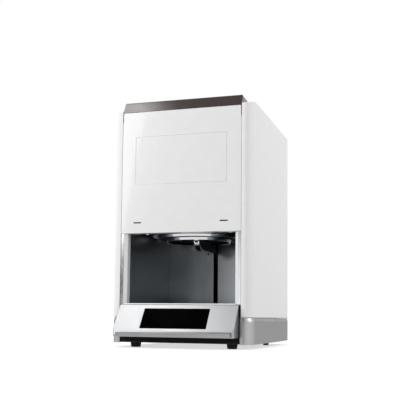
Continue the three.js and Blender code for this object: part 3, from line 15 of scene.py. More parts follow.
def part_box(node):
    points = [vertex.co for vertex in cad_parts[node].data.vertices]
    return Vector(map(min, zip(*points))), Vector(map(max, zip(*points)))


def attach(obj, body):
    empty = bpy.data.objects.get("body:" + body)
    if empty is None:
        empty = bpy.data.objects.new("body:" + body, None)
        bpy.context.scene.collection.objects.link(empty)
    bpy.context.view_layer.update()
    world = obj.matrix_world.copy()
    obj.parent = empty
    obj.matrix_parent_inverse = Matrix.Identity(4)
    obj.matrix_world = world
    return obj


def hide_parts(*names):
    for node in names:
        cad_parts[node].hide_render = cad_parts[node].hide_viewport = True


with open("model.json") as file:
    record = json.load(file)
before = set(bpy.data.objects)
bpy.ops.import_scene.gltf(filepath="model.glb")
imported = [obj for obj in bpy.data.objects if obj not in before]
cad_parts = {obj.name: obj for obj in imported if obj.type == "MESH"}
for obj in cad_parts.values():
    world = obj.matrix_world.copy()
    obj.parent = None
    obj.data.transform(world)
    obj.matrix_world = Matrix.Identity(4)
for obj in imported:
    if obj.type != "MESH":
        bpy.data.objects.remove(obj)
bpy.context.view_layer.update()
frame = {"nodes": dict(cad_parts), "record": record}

bl_info = {
    "name": "Sintering Furnace",
    "version": (1, 0, 0),
    "blender": (4, 5, 0),
    "location": "View3D > Sidebar > Furnace",
    "description": "Models a bottom-loading sintering furnace piece by piece over its CAD frame",
    "category": "Add Mesh",
}

MM = 0.001
# Places closer than NEAR count as one, and corners closer than MERGE become one
NEAR = 0.02 * MM
MERGE = 0.002 * MM
SIDES = (-1, 1)
BODY_OF = {
    node: body
    for body, nodes in frame["record"]["behaviour"]["bodies"].items()
    for node in nodes
}
WHITE = (1.0, 1.0, 1.0, 1.0)
FLOOR_GREY = (0.48, 0.48, 0.48, 1.0)
CARD_GREY = (0.03, 0.03, 0.03, 1.0)
# Laid on upward faces: a dusting, and on the base skirt's shoulder a painted highlight
DUST_AND_SHEEN_GREY = (0.62, 0.60, 0.57, 1.0)
AXES = {"x": Vector((1, 0, 0)), "y": Vector((0, 1, 0)), "z": Vector((0, 0, 1))}


# Settings that a user would change

def length(label, words, millimetres):
    """A length setting with its default in millimetres."""
    return FloatProperty(
        name=label, description=words, default=millimetres * MM, min=0, unit="LENGTH")


def power(label, words, value):
    """A lamp's power setting with its default."""
    return FloatProperty(name=label, description=words, default=value, min=0, unit="POWER")


def colour(label, words, value):
    """A colour setting with its default."""
    return FloatVectorProperty(
        name=label, description=words, default=value, size=3, min=0, max=1, subtype="COLOR")


class FurnaceSizes(bpy.types.PropertyGroup):
    """Radii, gauges and fastener sizes of the dressed pieces."""

    fine_edge: length("Fine Edge", "Radius on cut sheet edges", 0.3)
    soft_edge: length("Soft Edge", "Radius on folded and moulded edges", 1.2)
    column_width: length("Column Width", "Width of the side covers' oval front corner", 17)
    column_depth: length("Column Depth", "Depth of the side covers' oval front corner", 34)
    brow_run: length("Brow Run", "Depth over which the side covers' top falls to the front", 65)
    brow_fall: length("Brow Fall", "How far the side covers' top falls at the front", 12.5)
    cover_wall: length("Cover Wall", "Wall of the moulded covers", 2.5)
    skirt_corner: length("Skirt Corner", "Width of the base skirt's oval front corners", 22)
    skirt_depth: length("Skirt Depth", "Depth of the base skirt's oval front corners", 44)
    skirt_bulge: length("Skirt Bulge", "How far the base skirt's sides bow outwards", 4.5)
    skirt_shoulder: length("Skirt Shoulder", "Height of the sloping shoulder on the base skirt", 9)
    screw_head: length("Screw Head", "Radius of the cover screws' heads", 3)
    thread_lead: length("Thread Lead", "Climb of the lead screw in one turn", 8)
    vent_length: length("Vent Length", "Length of the slots in the roof and the rear cover", 44)
    vent_width: length("Vent Width", "Width of the slots in the roof and the rear cover", 5)
    vent_pitch: length("Vent Pitch", "Distance from one vent slot to the next", 12)
    round_steps: IntProperty(
        name="Round Steps", description="Steps in a full turn of the large round pieces",
        default=96, min=12)
    fine_steps: IntProperty(
        name="Fine Steps", description="Steps in a full turn of the polished rings",
        default=128, min=12)
    corner_steps: IntProperty(
        name="Corner Steps", description="Steps in a large rounded corner",
        default=12, min=2)


class FurnaceColours(bpy.types.PropertyGroup):
    """Base colours of the finishes."""

    cover_white: colour("Cover White", "Powder-coated covers", (0.83, 0.82, 0.817))
    panel_white: colour("Panel White", "Glossy front fascia", (0.82, 0.82, 0.82))
    cap_brown: colour("Cap Brown", "Glossy top cap", (0.022, 0.008, 0.006))
    console_silver: colour("Console Silver", "Silver-white console", (0.36, 0.363, 0.368))
    base_grey: colour("Base Grey", "Silver-grey base skirt", (0.40, 0.403, 0.407))
    steel: colour("Steel", "Polished and brushed steel", (0.60, 0.61, 0.62))
    liner: colour("Liner", "Brushed steel round the loading bay", (0.43, 0.455, 0.475))
    dark_steel: colour("Dark Steel", "Black painted steel", (0.015, 0.016, 0.017))
    fibre: colour("Fibre", "Ceramic fibre lining", (0.84, 0.80, 0.72))
    zirconia: colour("Zirconia", "Setter and holders", (0.80, 0.70, 0.54))
    element: colour("Element", "Heating elements", (0.085, 0.088, 0.096))
    brass: colour("Brass", "Nut and bushings", (0.58, 0.40, 0.16))
    board: colour("Board", "Circuit board", (0.012, 0.105, 0.040))


class FurnaceStage(bpy.types.PropertyGroup):
    """Camera and lamps."""

    camera_place: FloatVectorProperty(
        name="Camera Place", description="Where the camera stands",
        default=(0.584, -1.88725, 0.073), size=3, unit="LENGTH")
    camera_heading: FloatProperty(
        name="Camera Heading", description="Turn of the camera to its left, from straight back",
        default=math.radians(17.47), unit="ROTATION")
    camera_pitch: FloatProperty(
        name="Camera Pitch", description="Tilt of the camera upwards",
        default=math.radians(5.33), unit="ROTATION")
    camera_roll: FloatProperty(
        name="Camera Roll", description="Turn of the camera about its own axis",
        default=math.radians(0.615), unit="ROTATION")
    camera_lens: FloatProperty(
        name="Camera Lens", description="Focal length in millimetres on a 36 mm sensor",
        default=68.265, min=1)
    shift_across: FloatProperty(
        name="Shift Across", description="Sideways lens shift that frames the picture",
        default=-0.00125)
    shift_up: FloatProperty(
        name="Shift Up", description="Upward lens shift that frames the picture",
        default=0.11625)
    sky_level: FloatProperty(
        name="Sky Level", description="Strength of the even studio light",
        default=0.84, min=0)
    key_power: power("Key Power", "Power of the large lamp at the front left", 22)
    side_power: power("Side Power", "Power of the lamp on the right", 12)
    top_power: power("Top Power", "Power of the lamp overhead", 5.2)
    cap_power: power("Cap Power", "Power of the small lamp that the cap mirrors", 1.3)
    fill_power: power("Fill Power", "Power of the low lamp in front", 1.2)


def sizes():
    """The scene's size settings."""
    return bpy.context.scene.furnace_sizes


def colours():
    """The scene's colour settings."""
    return bpy.context.scene.furnace_colours


# Modelling helpers: each works on one selected piece, as by hand

def settle():
    """Leave edit mode and deselect everything."""
    active = bpy.context.view_layer.objects.active
    if active and active.mode != "OBJECT":
        bpy.ops.object.mode_set(mode="OBJECT")
    bpy.ops.object.select_all(action="DESELECT")


def taken(piece):
    """Make a piece the only selected one, and active."""
    settle()
    piece.select_set(True)
    bpy.context.view_layer.objects.active = piece
    return piece


def opened(piece, kind="VERT"):
    """Enter a piece's edit mode with everything selected."""
    taken(piece)
    bpy.ops.object.mode_set(mode="EDIT")
    bpy.ops.mesh.select_mode(type=kind)
    bpy.ops.mesh.select_all(action="SELECT")


def closed():
    """Return to object mode."""
    bpy.ops.object.mode_set(mode="OBJECT")


def named(name):
    """Name the piece that was just added and set its place into its mesh."""
    piece = bpy.context.object
    piece.name = piece.data.name = name
    bpy.ops.object.transform_apply(location=True, rotation=True, scale=True)
    return piece


def middle(element):
    """The middle of an edge or face."""
    points = [vertex.co for vertex in element.verts]
    return sum(points, Vector()) / len(points)


def lies(along=None, **where):
    """A test: every corner lies at these coordinates, or between these pairs of them."""
    def test(element):
        points = [vertex.co for vertex in getattr(element, "verts", [element])]
        for axis, value in where.items():
            low, high = value if isinstance(value, tuple) else (value, value)
            if any(not low - NEAR <= getattr(point, axis) <= high + NEAR for point in points):
                return False
        if along:
            run = points[1] - points[0]
            return abs(run.normalized().dot(AXES[along])) > 0.99
        return True
    return test


def faces_to(axis, sign, **where):
    """A test: a face looks along an axis and lies at these coordinates."""
    place = lies(**where)
    return lambda face: face.normal.dot(AXES[axis]) * sign > 0.9 and place(face)


def on_planes(*planes):
    """A test: every corner lies on one of these planes, each an axis and a place."""
    tests = [lies(**{axis: place}) for axis, place in planes]
    return lambda element: any(test(element) for test in tests)


def crisp(edge):
    """A test: the faces on either side of an edge meet at a steep angle."""
    return edge.calc_face_angle(0) > 0.9


def pick(piece, kind, test):
    """Enter edit mode with only the elements that pass a test selected."""
    opened(piece, kind)
    bpy.ops.mesh.select_all(action="DESELECT")
    mesh = bmesh.from_edit_mesh(piece.data)
    mesh.normal_update()
    elements = {"VERT": mesh.verts, "EDGE": mesh.edges, "FACE": mesh.faces}[kind]
    chosen = [element for element in elements if test(element)]
    for element in chosen:
        element.select_set(True)
    bmesh.update_edit_mesh(piece.data)
    if not chosen:
        closed()
        raise RuntimeError(f"nothing to select on {piece.name}")


def block(name, low, high):
    """A cube brought to size and place."""
    settle()
    low, high = Vector(low), Vector(high)
    bpy.ops.mesh.primitive_cube_add(size=1, location=(low + high) / 2, scale=high - low)
    return named(name)


def cylinder(name, radius, start, end, steps=48):
    """A round bar between two points."""
    settle()
    start, end = Vector(start), Vector(end)
    run = end - start
    turn = run.to_track_quat("Z", "Y").to_euler()
    bpy.ops.mesh.primitive_cylinder_add(
        vertices=steps, radius=radius, depth=run.length, location=(start + end) / 2, rotation=turn)
    return named(name)


def traced(name, points):
    """A line through points, drawn by extruding one corner to the next."""
    settle()
    points = [Vector(point) for point in points]
    bpy.ops.mesh.primitive_plane_add(size=MM, location=points[0])
    piece = named(name)
    opened(piece)
    bpy.ops.mesh.merge(type="CENTER")
    for before, after in zip(points, points[1:]):
        bpy.ops.mesh.extrude_region_move(TRANSFORM_OT_translate={"value": after - before})
    return piece


def tidied():
    """In edit mode: merge doubles and turn every face outwards."""
    bpy.ops.mesh.select_all(action="SELECT")
    bpy.ops.mesh.remove_doubles(threshold=MERGE)
    bpy.ops.mesh.normals_make_consistent(inside=False)


def prism(name, points, sweep):
    """A closed outline extruded along a sweep."""
    piece = traced(name, points)
    bpy.ops.mesh.select_all(action="SELECT")
    bpy.ops.mesh.edge_face_add()
    bpy.ops.mesh.extrude_region_move(TRANSFORM_OT_translate={"value": Vector(sweep)})
    tidied()
    closed()
    return piece


def turned(name, profile, centre, steps=None, axis="z"):
    """A profile of radius and height pairs, spun about z or y through a centre."""
    centre = Vector(centre)
    out, up = AXES["x"], AXES[axis]
    points = [centre + out * radius + up * height for radius, height in profile]
    piece = traced(name, points)
    bpy.ops.mesh.select_all(action="SELECT")
    bpy.ops.mesh.spin(
        steps=steps or sizes().round_steps, angle=2 * math.pi, center=centre, axis=up)
    tidied()
    closed()
    return piece


def rounded(piece, test, radius, steps=4):
    """Round the edges that pass a test."""
    pick(piece, "EDGE", test)
    bpy.ops.mesh.bevel(offset=radius, segments=steps, profile=0.5, affect="EDGES")
    closed()
    return piece


def sliced(piece, axis, places):
    """Add a line of edges across a piece at each place along an axis."""
    for place in places:
        opened(piece)
        bpy.ops.mesh.bisect(plane_co=AXES[axis] * place, plane_no=AXES[axis])
        closed()
    return piece


def removed(piece, test):
    """Delete the faces that pass a test."""
    pick(piece, "FACE", test)
    bpy.ops.mesh.delete(type="FACE")
    closed()
    return piece


def applied(piece, kind, **values):
    """Add a modifier with these values and apply it."""
    modifier = piece.modifiers.new(kind.title(), kind)
    for key, value in values.items():
        setattr(modifier, key, value)
    taken(piece)
    bpy.ops.object.modifier_apply(modifier=modifier.name)
    return piece


def cleared(piece, least=NEAR):
    """Merge corners that lie closer than this and drop what collapses."""
    opened(piece)
    bpy.ops.mesh.remove_doubles(threshold=least)
    bpy.ops.mesh.dissolve_degenerate(threshold=least)
    closed()
    return piece


def thickened(piece, wall, even=True):
    """Give an open shell a wall on its inner side."""
    return applied(piece, "SOLIDIFY", thickness=wall, offset=-1, use_even_offset=even)


def joined(pieces, name=None):
    """Join pieces into the first one."""
    if len(pieces) > 1:
        settle()
        for piece in pieces:
            piece.select_set(True)
        bpy.context.view_layer.objects.active = pieces[0]
        bpy.ops.object.join()
    if name:
        pieces[0].name = pieces[0].data.name = name
    return pieces[0]


def copied(piece, name, place):
    """A copy with its own mesh, brought to a place by a matrix."""
    taken(piece)
    bpy.ops.object.duplicate()
    twin = named(name)
    twin.data.transform(place)
    return twin


def mirrored(piece, name):
    """The piece's twin on the other side, with its faces turned outwards again."""
    twin = copied(piece, name, Matrix.Diagonal((-1, 1, 1, 1)))
    opened(twin)
    bpy.ops.mesh.flip_normals()
    closed()
    return twin


def combined(piece, others, operation):
    """Apply a boolean and clear the slivers that it leaves."""
    tool = joined(list(others))
    applied(piece, "BOOLEAN", operation=operation, solver="EXACT", object=tool)
    bpy.data.objects.remove(tool, do_unlink=True)
    return cleared(piece, NEAR / 2)


def cut(piece, tools):
    """Take tools away from a piece."""
    return combined(piece, tools, "DIFFERENCE")


def fused(piece, others):
    """Unite overlapping pieces into one skin."""
    return combined(piece, others, "UNION")


def kept_within(piece, tool):
    """Keep what lies inside a tool."""
    return combined(piece, [tool], "INTERSECT")


def softened(piece, width, steps=2, angle=38, clamp=True):
    """Round every crease a little and smooth the rest."""
    applied(
        piece, "BEVEL", width=width, segments=steps, limit_method="ANGLE",
        angle_limit=math.radians(angle), use_clamp_overlap=clamp)
    return smooth(piece, angle)


def smooth(piece, angle=38):
    """Shade smooth below an angle."""
    taken(piece)
    bpy.ops.object.shade_smooth_by_angle(angle=math.radians(angle))
    return piece


def merged_copy(node, name):
    """A copy of a CAD node with its corners merged and its flat faces made whole."""
    taken(frame["nodes"][node])
    bpy.ops.object.duplicate()
    piece = bpy.context.object
    piece.name = piece.data.name = name
    piece.parent = None
    piece.matrix_world = Matrix.Identity(4)
    opened(piece)
    bpy.ops.mesh.remove_doubles(threshold=MERGE)
    bpy.ops.mesh.dissolve_limited(angle_limit=math.radians(1))
    closed()
    return piece


def refined(node, width, steps=2, angle=38):
    """A merged copy of a CAD node with its creases rounded."""
    return softened(merged_copy(node, f"fine_{node}"), width, steps, angle)


def placed(piece, finish, body, nodes=()):
    """Finish a piece: flat faces kept flat, its look, its body and the nodes it stands for."""
    applied(piece, "WEIGHTED_NORMAL", keep_sharp=True, weight=100)
    piece.data.materials.clear()
    piece.data.materials.append(look(finish))
    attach(piece, body)
    if nodes:
        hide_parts(*nodes)
    return piece


def dressed(piece, finish, node):
    """Finish a piece that stands for one CAD node."""
    return placed(piece, finish, BODY_OF[node], [node])


def redressed(node, finish, edge, steps=2, angle=38):
    """Finish a CAD node as it is, with its creases rounded."""
    return dressed(refined(node, edge, steps, angle), finish, node)


def slot_tool(centre, span, width, depth, through="y", lengthwise="z"):
    """A cutter with round ends, long one way and going through another."""
    half = {axis: width / 2 for axis in "xyz"}
    half[lengthwise] = span / 2
    half[through] = depth
    reach = Vector((half["x"], half["y"], half["z"]))
    tool = block("slot_tool", Vector(centre) - reach, Vector(centre) + reach)
    # Just under half the width, so that no edge closes up
    end_radius = width / 2 * 0.999
    return rounded(tool, lies(along=through), end_radius, 8)


# Materials: shared effects are groups, and each shader stays in its own material

def new_group(name, inputs, outputs):
    """A node group with named sockets: its tree, inputs, outputs and the object's place."""
    group = bpy.data.node_groups.new(name, "ShaderNodeTree")
    for label, kind, value in inputs:
        socket = group.interface.new_socket(label, in_out="INPUT", socket_type=kind)
        socket.default_value = value
    for label, kind in outputs:
        group.interface.new_socket(label, in_out="OUTPUT", socket_type=kind)
    entry = group.nodes.new("NodeGroupInput").outputs
    leave = group.nodes.new("NodeGroupOutput").inputs
    return group, entry, leave, add_node(group, "ShaderNodeTexCoord").outputs["Object"]


def add_node(tree, kind, values=None, **links):
    """A node with its settings, its input values and its linked inputs."""
    node = tree.nodes.new(kind)
    for key, value in (values or {}).items():
        if key in node.inputs:
            node.inputs[key].default_value = value
        else:
            setattr(node, key, value)
    for key, source in links.items():
        tree.links.new(source, node.inputs[key.replace("_", " ")])
    return node


def maths(tree, operation, first, second):
    """One Math node on two links or numbers."""
    node = tree.nodes.new("ShaderNodeMath")
    node.operation = operation
    for index, value in enumerate((first, second)):
        if isinstance(value, (int, float)):
            node.inputs[index].default_value = value
        else:
            tree.links.new(value, node.inputs[index])
    return node.outputs[0]


def blended(tree, factor, first, second):
    """A colour mix of two links or colours."""
    node = tree.nodes.new("ShaderNodeMix")
    node.data_type = "RGBA"
    for index, value in ((0, factor), (6, first), (7, second)):
        if isinstance(value, bpy.types.NodeSocket):
            tree.links.new(value, node.inputs[index])
        else:
            node.inputs[index].default_value = value
    return node.outputs[2]


def ranged(tree, value, low, high, to_low, to_high):
    """A clamped Map Range."""
    return add_node(
        tree, "ShaderNodeMapRange",
        {"From Min": low, "From Max": high, "To Min": to_low, "To Max": to_high},
        Value=value).outputs["Result"]


def peel_group():
    """Paint skin: a slow ripple over a fine one, as a normal and a mask."""
    group, entry, leave, place = new_group(
        "Paint Skin",
        [("Scale", "NodeSocketFloat", 900.0), ("Depth", "NodeSocketFloat", 0.1)],
        [("Normal", "NodeSocketVector"), ("Mask", "NodeSocketFloat")])
    fine = add_node(
        group, "ShaderNodeTexNoise", {"Detail": 2.0}, Vector=place, Scale=entry["Scale"])
    slow = add_node(group, "ShaderNodeTexNoise", {"Scale": 35.0, "Detail": 3.0}, Vector=place)
    bump = add_node(
        group, "ShaderNodeBump", {"Distance": 0.0002},
        Strength=entry["Depth"], Height=fine.outputs["Fac"])
    group.links.new(bump.outputs["Normal"], leave["Normal"])
    group.links.new(slow.outputs["Fac"], leave["Mask"])
    return group


def wear_group():
    """Edge wear: a broken line where a rounded normal departs from the face's own."""
    group, entry, leave, place = new_group(
        "Edge Wear",
        [("Amount", "NodeSocketFloat", 0.5), ("Scale", "NodeSocketFloat", 120.0)],
        [("Mask", "NodeSocketFloat")])
    flat = add_node(group, "ShaderNodeNewGeometry").outputs["Normal"]
    soft = add_node(group, "ShaderNodeBevel", {"samples": 6, "Radius": 0.0007}).outputs["Normal"]
    likeness = group.nodes.new("ShaderNodeVectorMath")
    likeness.operation = "DOT_PRODUCT"
    group.links.new(flat, likeness.inputs[0])
    group.links.new(soft, likeness.inputs[1])
    sharp = ranged(group, likeness.outputs["Value"], 0.8, 0.98, 1.0, 0.0)
    broken = add_node(
        group, "ShaderNodeTexNoise", {"Detail": 4.0}, Vector=place, Scale=entry["Scale"])
    patch = ranged(group, broken.outputs["Fac"], 0.42, 0.62, 0.0, 1.0)
    mask = maths(group, "MULTIPLY", maths(group, "MULTIPLY", sharp, patch), entry["Amount"])
    group.links.new(mask, leave["Mask"])
    return group


def dust_and_sheen_group():
    """A soft speckled mask on what faces up: a dusting, and where a finish turns it full up,
    painted light on the upward faces.
    """
    group, entry, leave, place = new_group(
        "Dust and Top Sheen",
        [("Amount", "NodeSocketFloat", 0.3), ("Slope", "NodeSocketFloat", 0.6)],
        [("Mask", "NodeSocketFloat")])
    normal = add_node(group, "ShaderNodeNewGeometry").outputs["Normal"]
    height = add_node(group, "ShaderNodeSeparateXYZ", Vector=normal).outputs["Z"]
    above = maths(group, "SUBTRACT", height, entry["Slope"])
    upward = ranged(group, above, 0.0, 0.3, 0.0, 1.0)
    drift = add_node(group, "ShaderNodeTexNoise", {"Scale": 26.0, "Detail": 8.0}, Vector=place)
    grains = ranged(group, drift.outputs["Fac"], 0.35, 0.75, 0.2, 1.0)
    mask = maths(group, "MULTIPLY", maths(group, "MULTIPLY", upward, grains), entry["Amount"])
    group.links.new(mask, leave["Mask"])
    return group


def brushed_group():
    """Brushing: fine lines drawn out along one direction, as a value and a normal."""
    group, entry, leave, place = new_group(
        "Brushing",
        [("Stretch", "NodeSocketVector", (30.0, 1800.0, 1800.0)),
         ("Depth", "NodeSocketFloat", 0.1)],
        [("Normal", "NodeSocketVector"), ("Lines", "NodeSocketFloat")])
    drawn = group.nodes.new("ShaderNodeVectorMath")
    drawn.operation = "MULTIPLY"
    group.links.new(place, drawn.inputs[0])
    group.links.new(entry["Stretch"], drawn.inputs[1])
    lines = add_node(
        group, "ShaderNodeTexNoise", {"Scale": 1.0, "Detail": 3.0, "Roughness": 0.6},
        Vector=drawn.outputs["Vector"])
    bump = add_node(
        group, "ShaderNodeBump", {"Distance": 0.0001},
        Strength=entry["Depth"], Height=lines.outputs["Fac"])
    group.links.new(bump.outputs["Normal"], leave["Normal"])
    group.links.new(lines.outputs["Fac"], leave["Lines"])
    return group


def fibre_group():
    """Pressed fibre: pits and short strands, as a normal and a stain mask."""
    group, entry, leave, place = new_group(
        "Pressed Fibre",
        [("Scale", "NodeSocketFloat", 260.0), ("Depth", "NodeSocketFloat", 0.5)],
        [("Normal", "NodeSocketVector"), ("Stain", "NodeSocketFloat")])
    pits = add_node(
        group, "ShaderNodeTexVoronoi", {"feature": "SMOOTH_F1"}, Vector=place,
        Scale=entry["Scale"])
    strands = add_node(
        group, "ShaderNodeTexNoise", {"Scale": 700.0, "Detail": 6.0, "Distortion": 1.4},
        Vector=place)
    height = maths(group, "ADD", pits.outputs["Distance"], strands.outputs["Fac"])
    bump = add_node(
        group, "ShaderNodeBump", {"Distance": 0.0006},
        Strength=entry["Depth"], Height=height)
    stain = add_node(group, "ShaderNodeTexNoise", {"Scale": 18.0, "Detail": 5.0}, Vector=place)
    group.links.new(bump.outputs["Normal"], leave["Normal"])
    group.links.new(ranged(group, stain.outputs["Fac"], 0.4, 0.7, 0.0, 1.0), leave["Stain"])
    return group


EFFECTS = {}


def effect(tree, name, **values):
    """Place a shared effect in a material with its own values."""
    builders = {
        "Paint Skin": peel_group, "Edge Wear": wear_group, "Dust and Top Sheen": dust_and_sheen_group,
        "Brushing": brushed_group, "Pressed Fibre": fibre_group,
    }
    if name not in EFFECTS:
        EFFECTS[name] = builders[name]()
    node = tree.nodes.new("ShaderNodeGroup")
    node.node_tree = EFFECTS[name]
    for key, value in values.items():
        node.inputs[key].default_value = value
    return node.outputs


def started(name, **constants):
    """A new material, its tree and its shader with constants set on the sockets."""
    material = bpy.data.materials.new(name)
    material.use_nodes = True
    tree = material.node_tree
    shader = tree.nodes["Principled BSDF"]
    for key, value in constants.items():
        shader.inputs[key.replace("_", " ")].default_value = value
    return material, tree, shader


def tone(value, factor):
    """A colour made lighter or darker."""
    return (*[min(1.0, channel * factor) for channel in value], 1.0)


def coated(
        name, base, rough, coat=0.0, peel=0.05, scale=900.0, dust=0.12, spread=0.06,
        metallic=0.0, wear=0.0, rim=1.0, gloss=0.5, slope=0.6):
    """Paint or moulded plastic: skin ripple, uneven gloss, worn edges and a lighter tone on upward
    faces, which is a faint dusting on most finishes and painted light where it is turned full up.
    """
    material, tree, shader = started(
        name, Metallic=metallic, Coat_Weight=coat, Coat_Roughness=0.04,
        Specular_Tint=(rim, rim, rim, 1.0), Specular_IOR_Level=gloss)
    skin = effect(tree, "Paint Skin", Scale=scale, Depth=peel)
    uneven = ranged(tree, skin["Mask"], 0.3, 0.7, 0.0, 1.0)
    body = blended(tree, uneven, tone(base, 0.985), tone(base, 1.01))
    if wear:
        worn = effect(tree, "Edge Wear", Amount=wear)["Mask"]
        body = blended(tree, worn, body, tone(base, 1.6))
    # Lighter grey on upward faces: a dusting at small amounts, painted light where a finish turns
    # it full up
    if dust:
        dust_and_sheen_mask = effect(tree, "Dust and Top Sheen", Amount=dust, Slope=slope)["Mask"]
        body = blended(tree, dust_and_sheen_mask, body, DUST_AND_SHEEN_GREY)
    tree.links.new(body, shader.inputs["Base Color"])
    dull = ranged(tree, skin["Mask"], 0.3, 0.7, rough, rough + spread)
    tree.links.new(dull, shader.inputs["Roughness"])
    tree.links.new(skin["Normal"], shader.inputs["Normal"])
    return material


def metal(name, base, rough, stretch, depth, spread, wear=0.15):
    """Bare metal with drawn lines, smudges and brighter edges."""
    material, tree, shader = started(name, Metallic=1.0)
    lines = effect(tree, "Brushing", Stretch=stretch, Depth=depth)
    skin = effect(tree, "Paint Skin", Scale=60.0, Depth=0.0)
    drawn = ranged(tree, lines["Lines"], 0.3, 0.7, 0.0, 1.0)
    body = blended(tree, drawn, tone(base, 1 - depth), tone(base, 1 + depth / 2))
    worn = effect(tree, "Edge Wear", Amount=wear)["Mask"]
    body = blended(tree, worn, body, tone(base, 1.35))
    smudge = ranged(tree, skin["Mask"], 0.35, 0.7, 0.0, spread)
    dull = ranged(tree, lines["Lines"], 0.3, 0.7, rough, rough + spread)
    tree.links.new(body, shader.inputs["Base Color"])
    tree.links.new(maths(tree, "ADD", dull, smudge), shader.inputs["Roughness"])
    tree.links.new(lines["Normal"], shader.inputs["Normal"])
    return material


def fibrous(name, base, rough=0.95, scale=260.0, depth=0.5):
    """Ceramic fibre or bisque ceramic: pitted, chalky and faintly stained."""
    material, tree, shader = started(name, Specular_IOR_Level=0.2)
    grain = effect(tree, "Pressed Fibre", Scale=scale, Depth=depth)
    body = blended(tree, grain["Stain"], tone(base, 1.04), tone(base, 0.9))
    tree.links.new(body, shader.inputs["Base Color"])
    dull = ranged(tree, grain["Stain"], 0.0, 1.0, rough - 0.1, rough)
    tree.links.new(dull, shader.inputs["Roughness"])
    tree.links.new(grain["Normal"], shader.inputs["Normal"])
    return material


def glazed(name, base, smear):
    """Black cover glass with the faintest finger marks."""
    material, tree, shader = started(name, Specular_IOR_Level=0.001, IOR=1.5)
    marks = add_node(
        tree, "ShaderNodeTexNoise", {"Scale": 30.0, "Detail": 6.0, "Distortion": 0.8},
        Vector=add_node(tree, "ShaderNodeTexCoord").outputs["Object"])
    smudge = ranged(tree, marks.outputs["Fac"], 0.5, 0.75, 0.03, 0.14)
    cover = ranged(tree, marks.outputs["Fac"], 0.4, 0.8, 0.0, 1.0)
    body = blended(tree, cover, tone(base, 1.0), tone(smear, 1.0))
    tree.links.new(body, shader.inputs["Base Color"])
    tree.links.new(smudge, shader.inputs["Roughness"])
    return material


def even(lines):
    """Brushing drawn out alike in every direction."""
    return lines, lines, lines


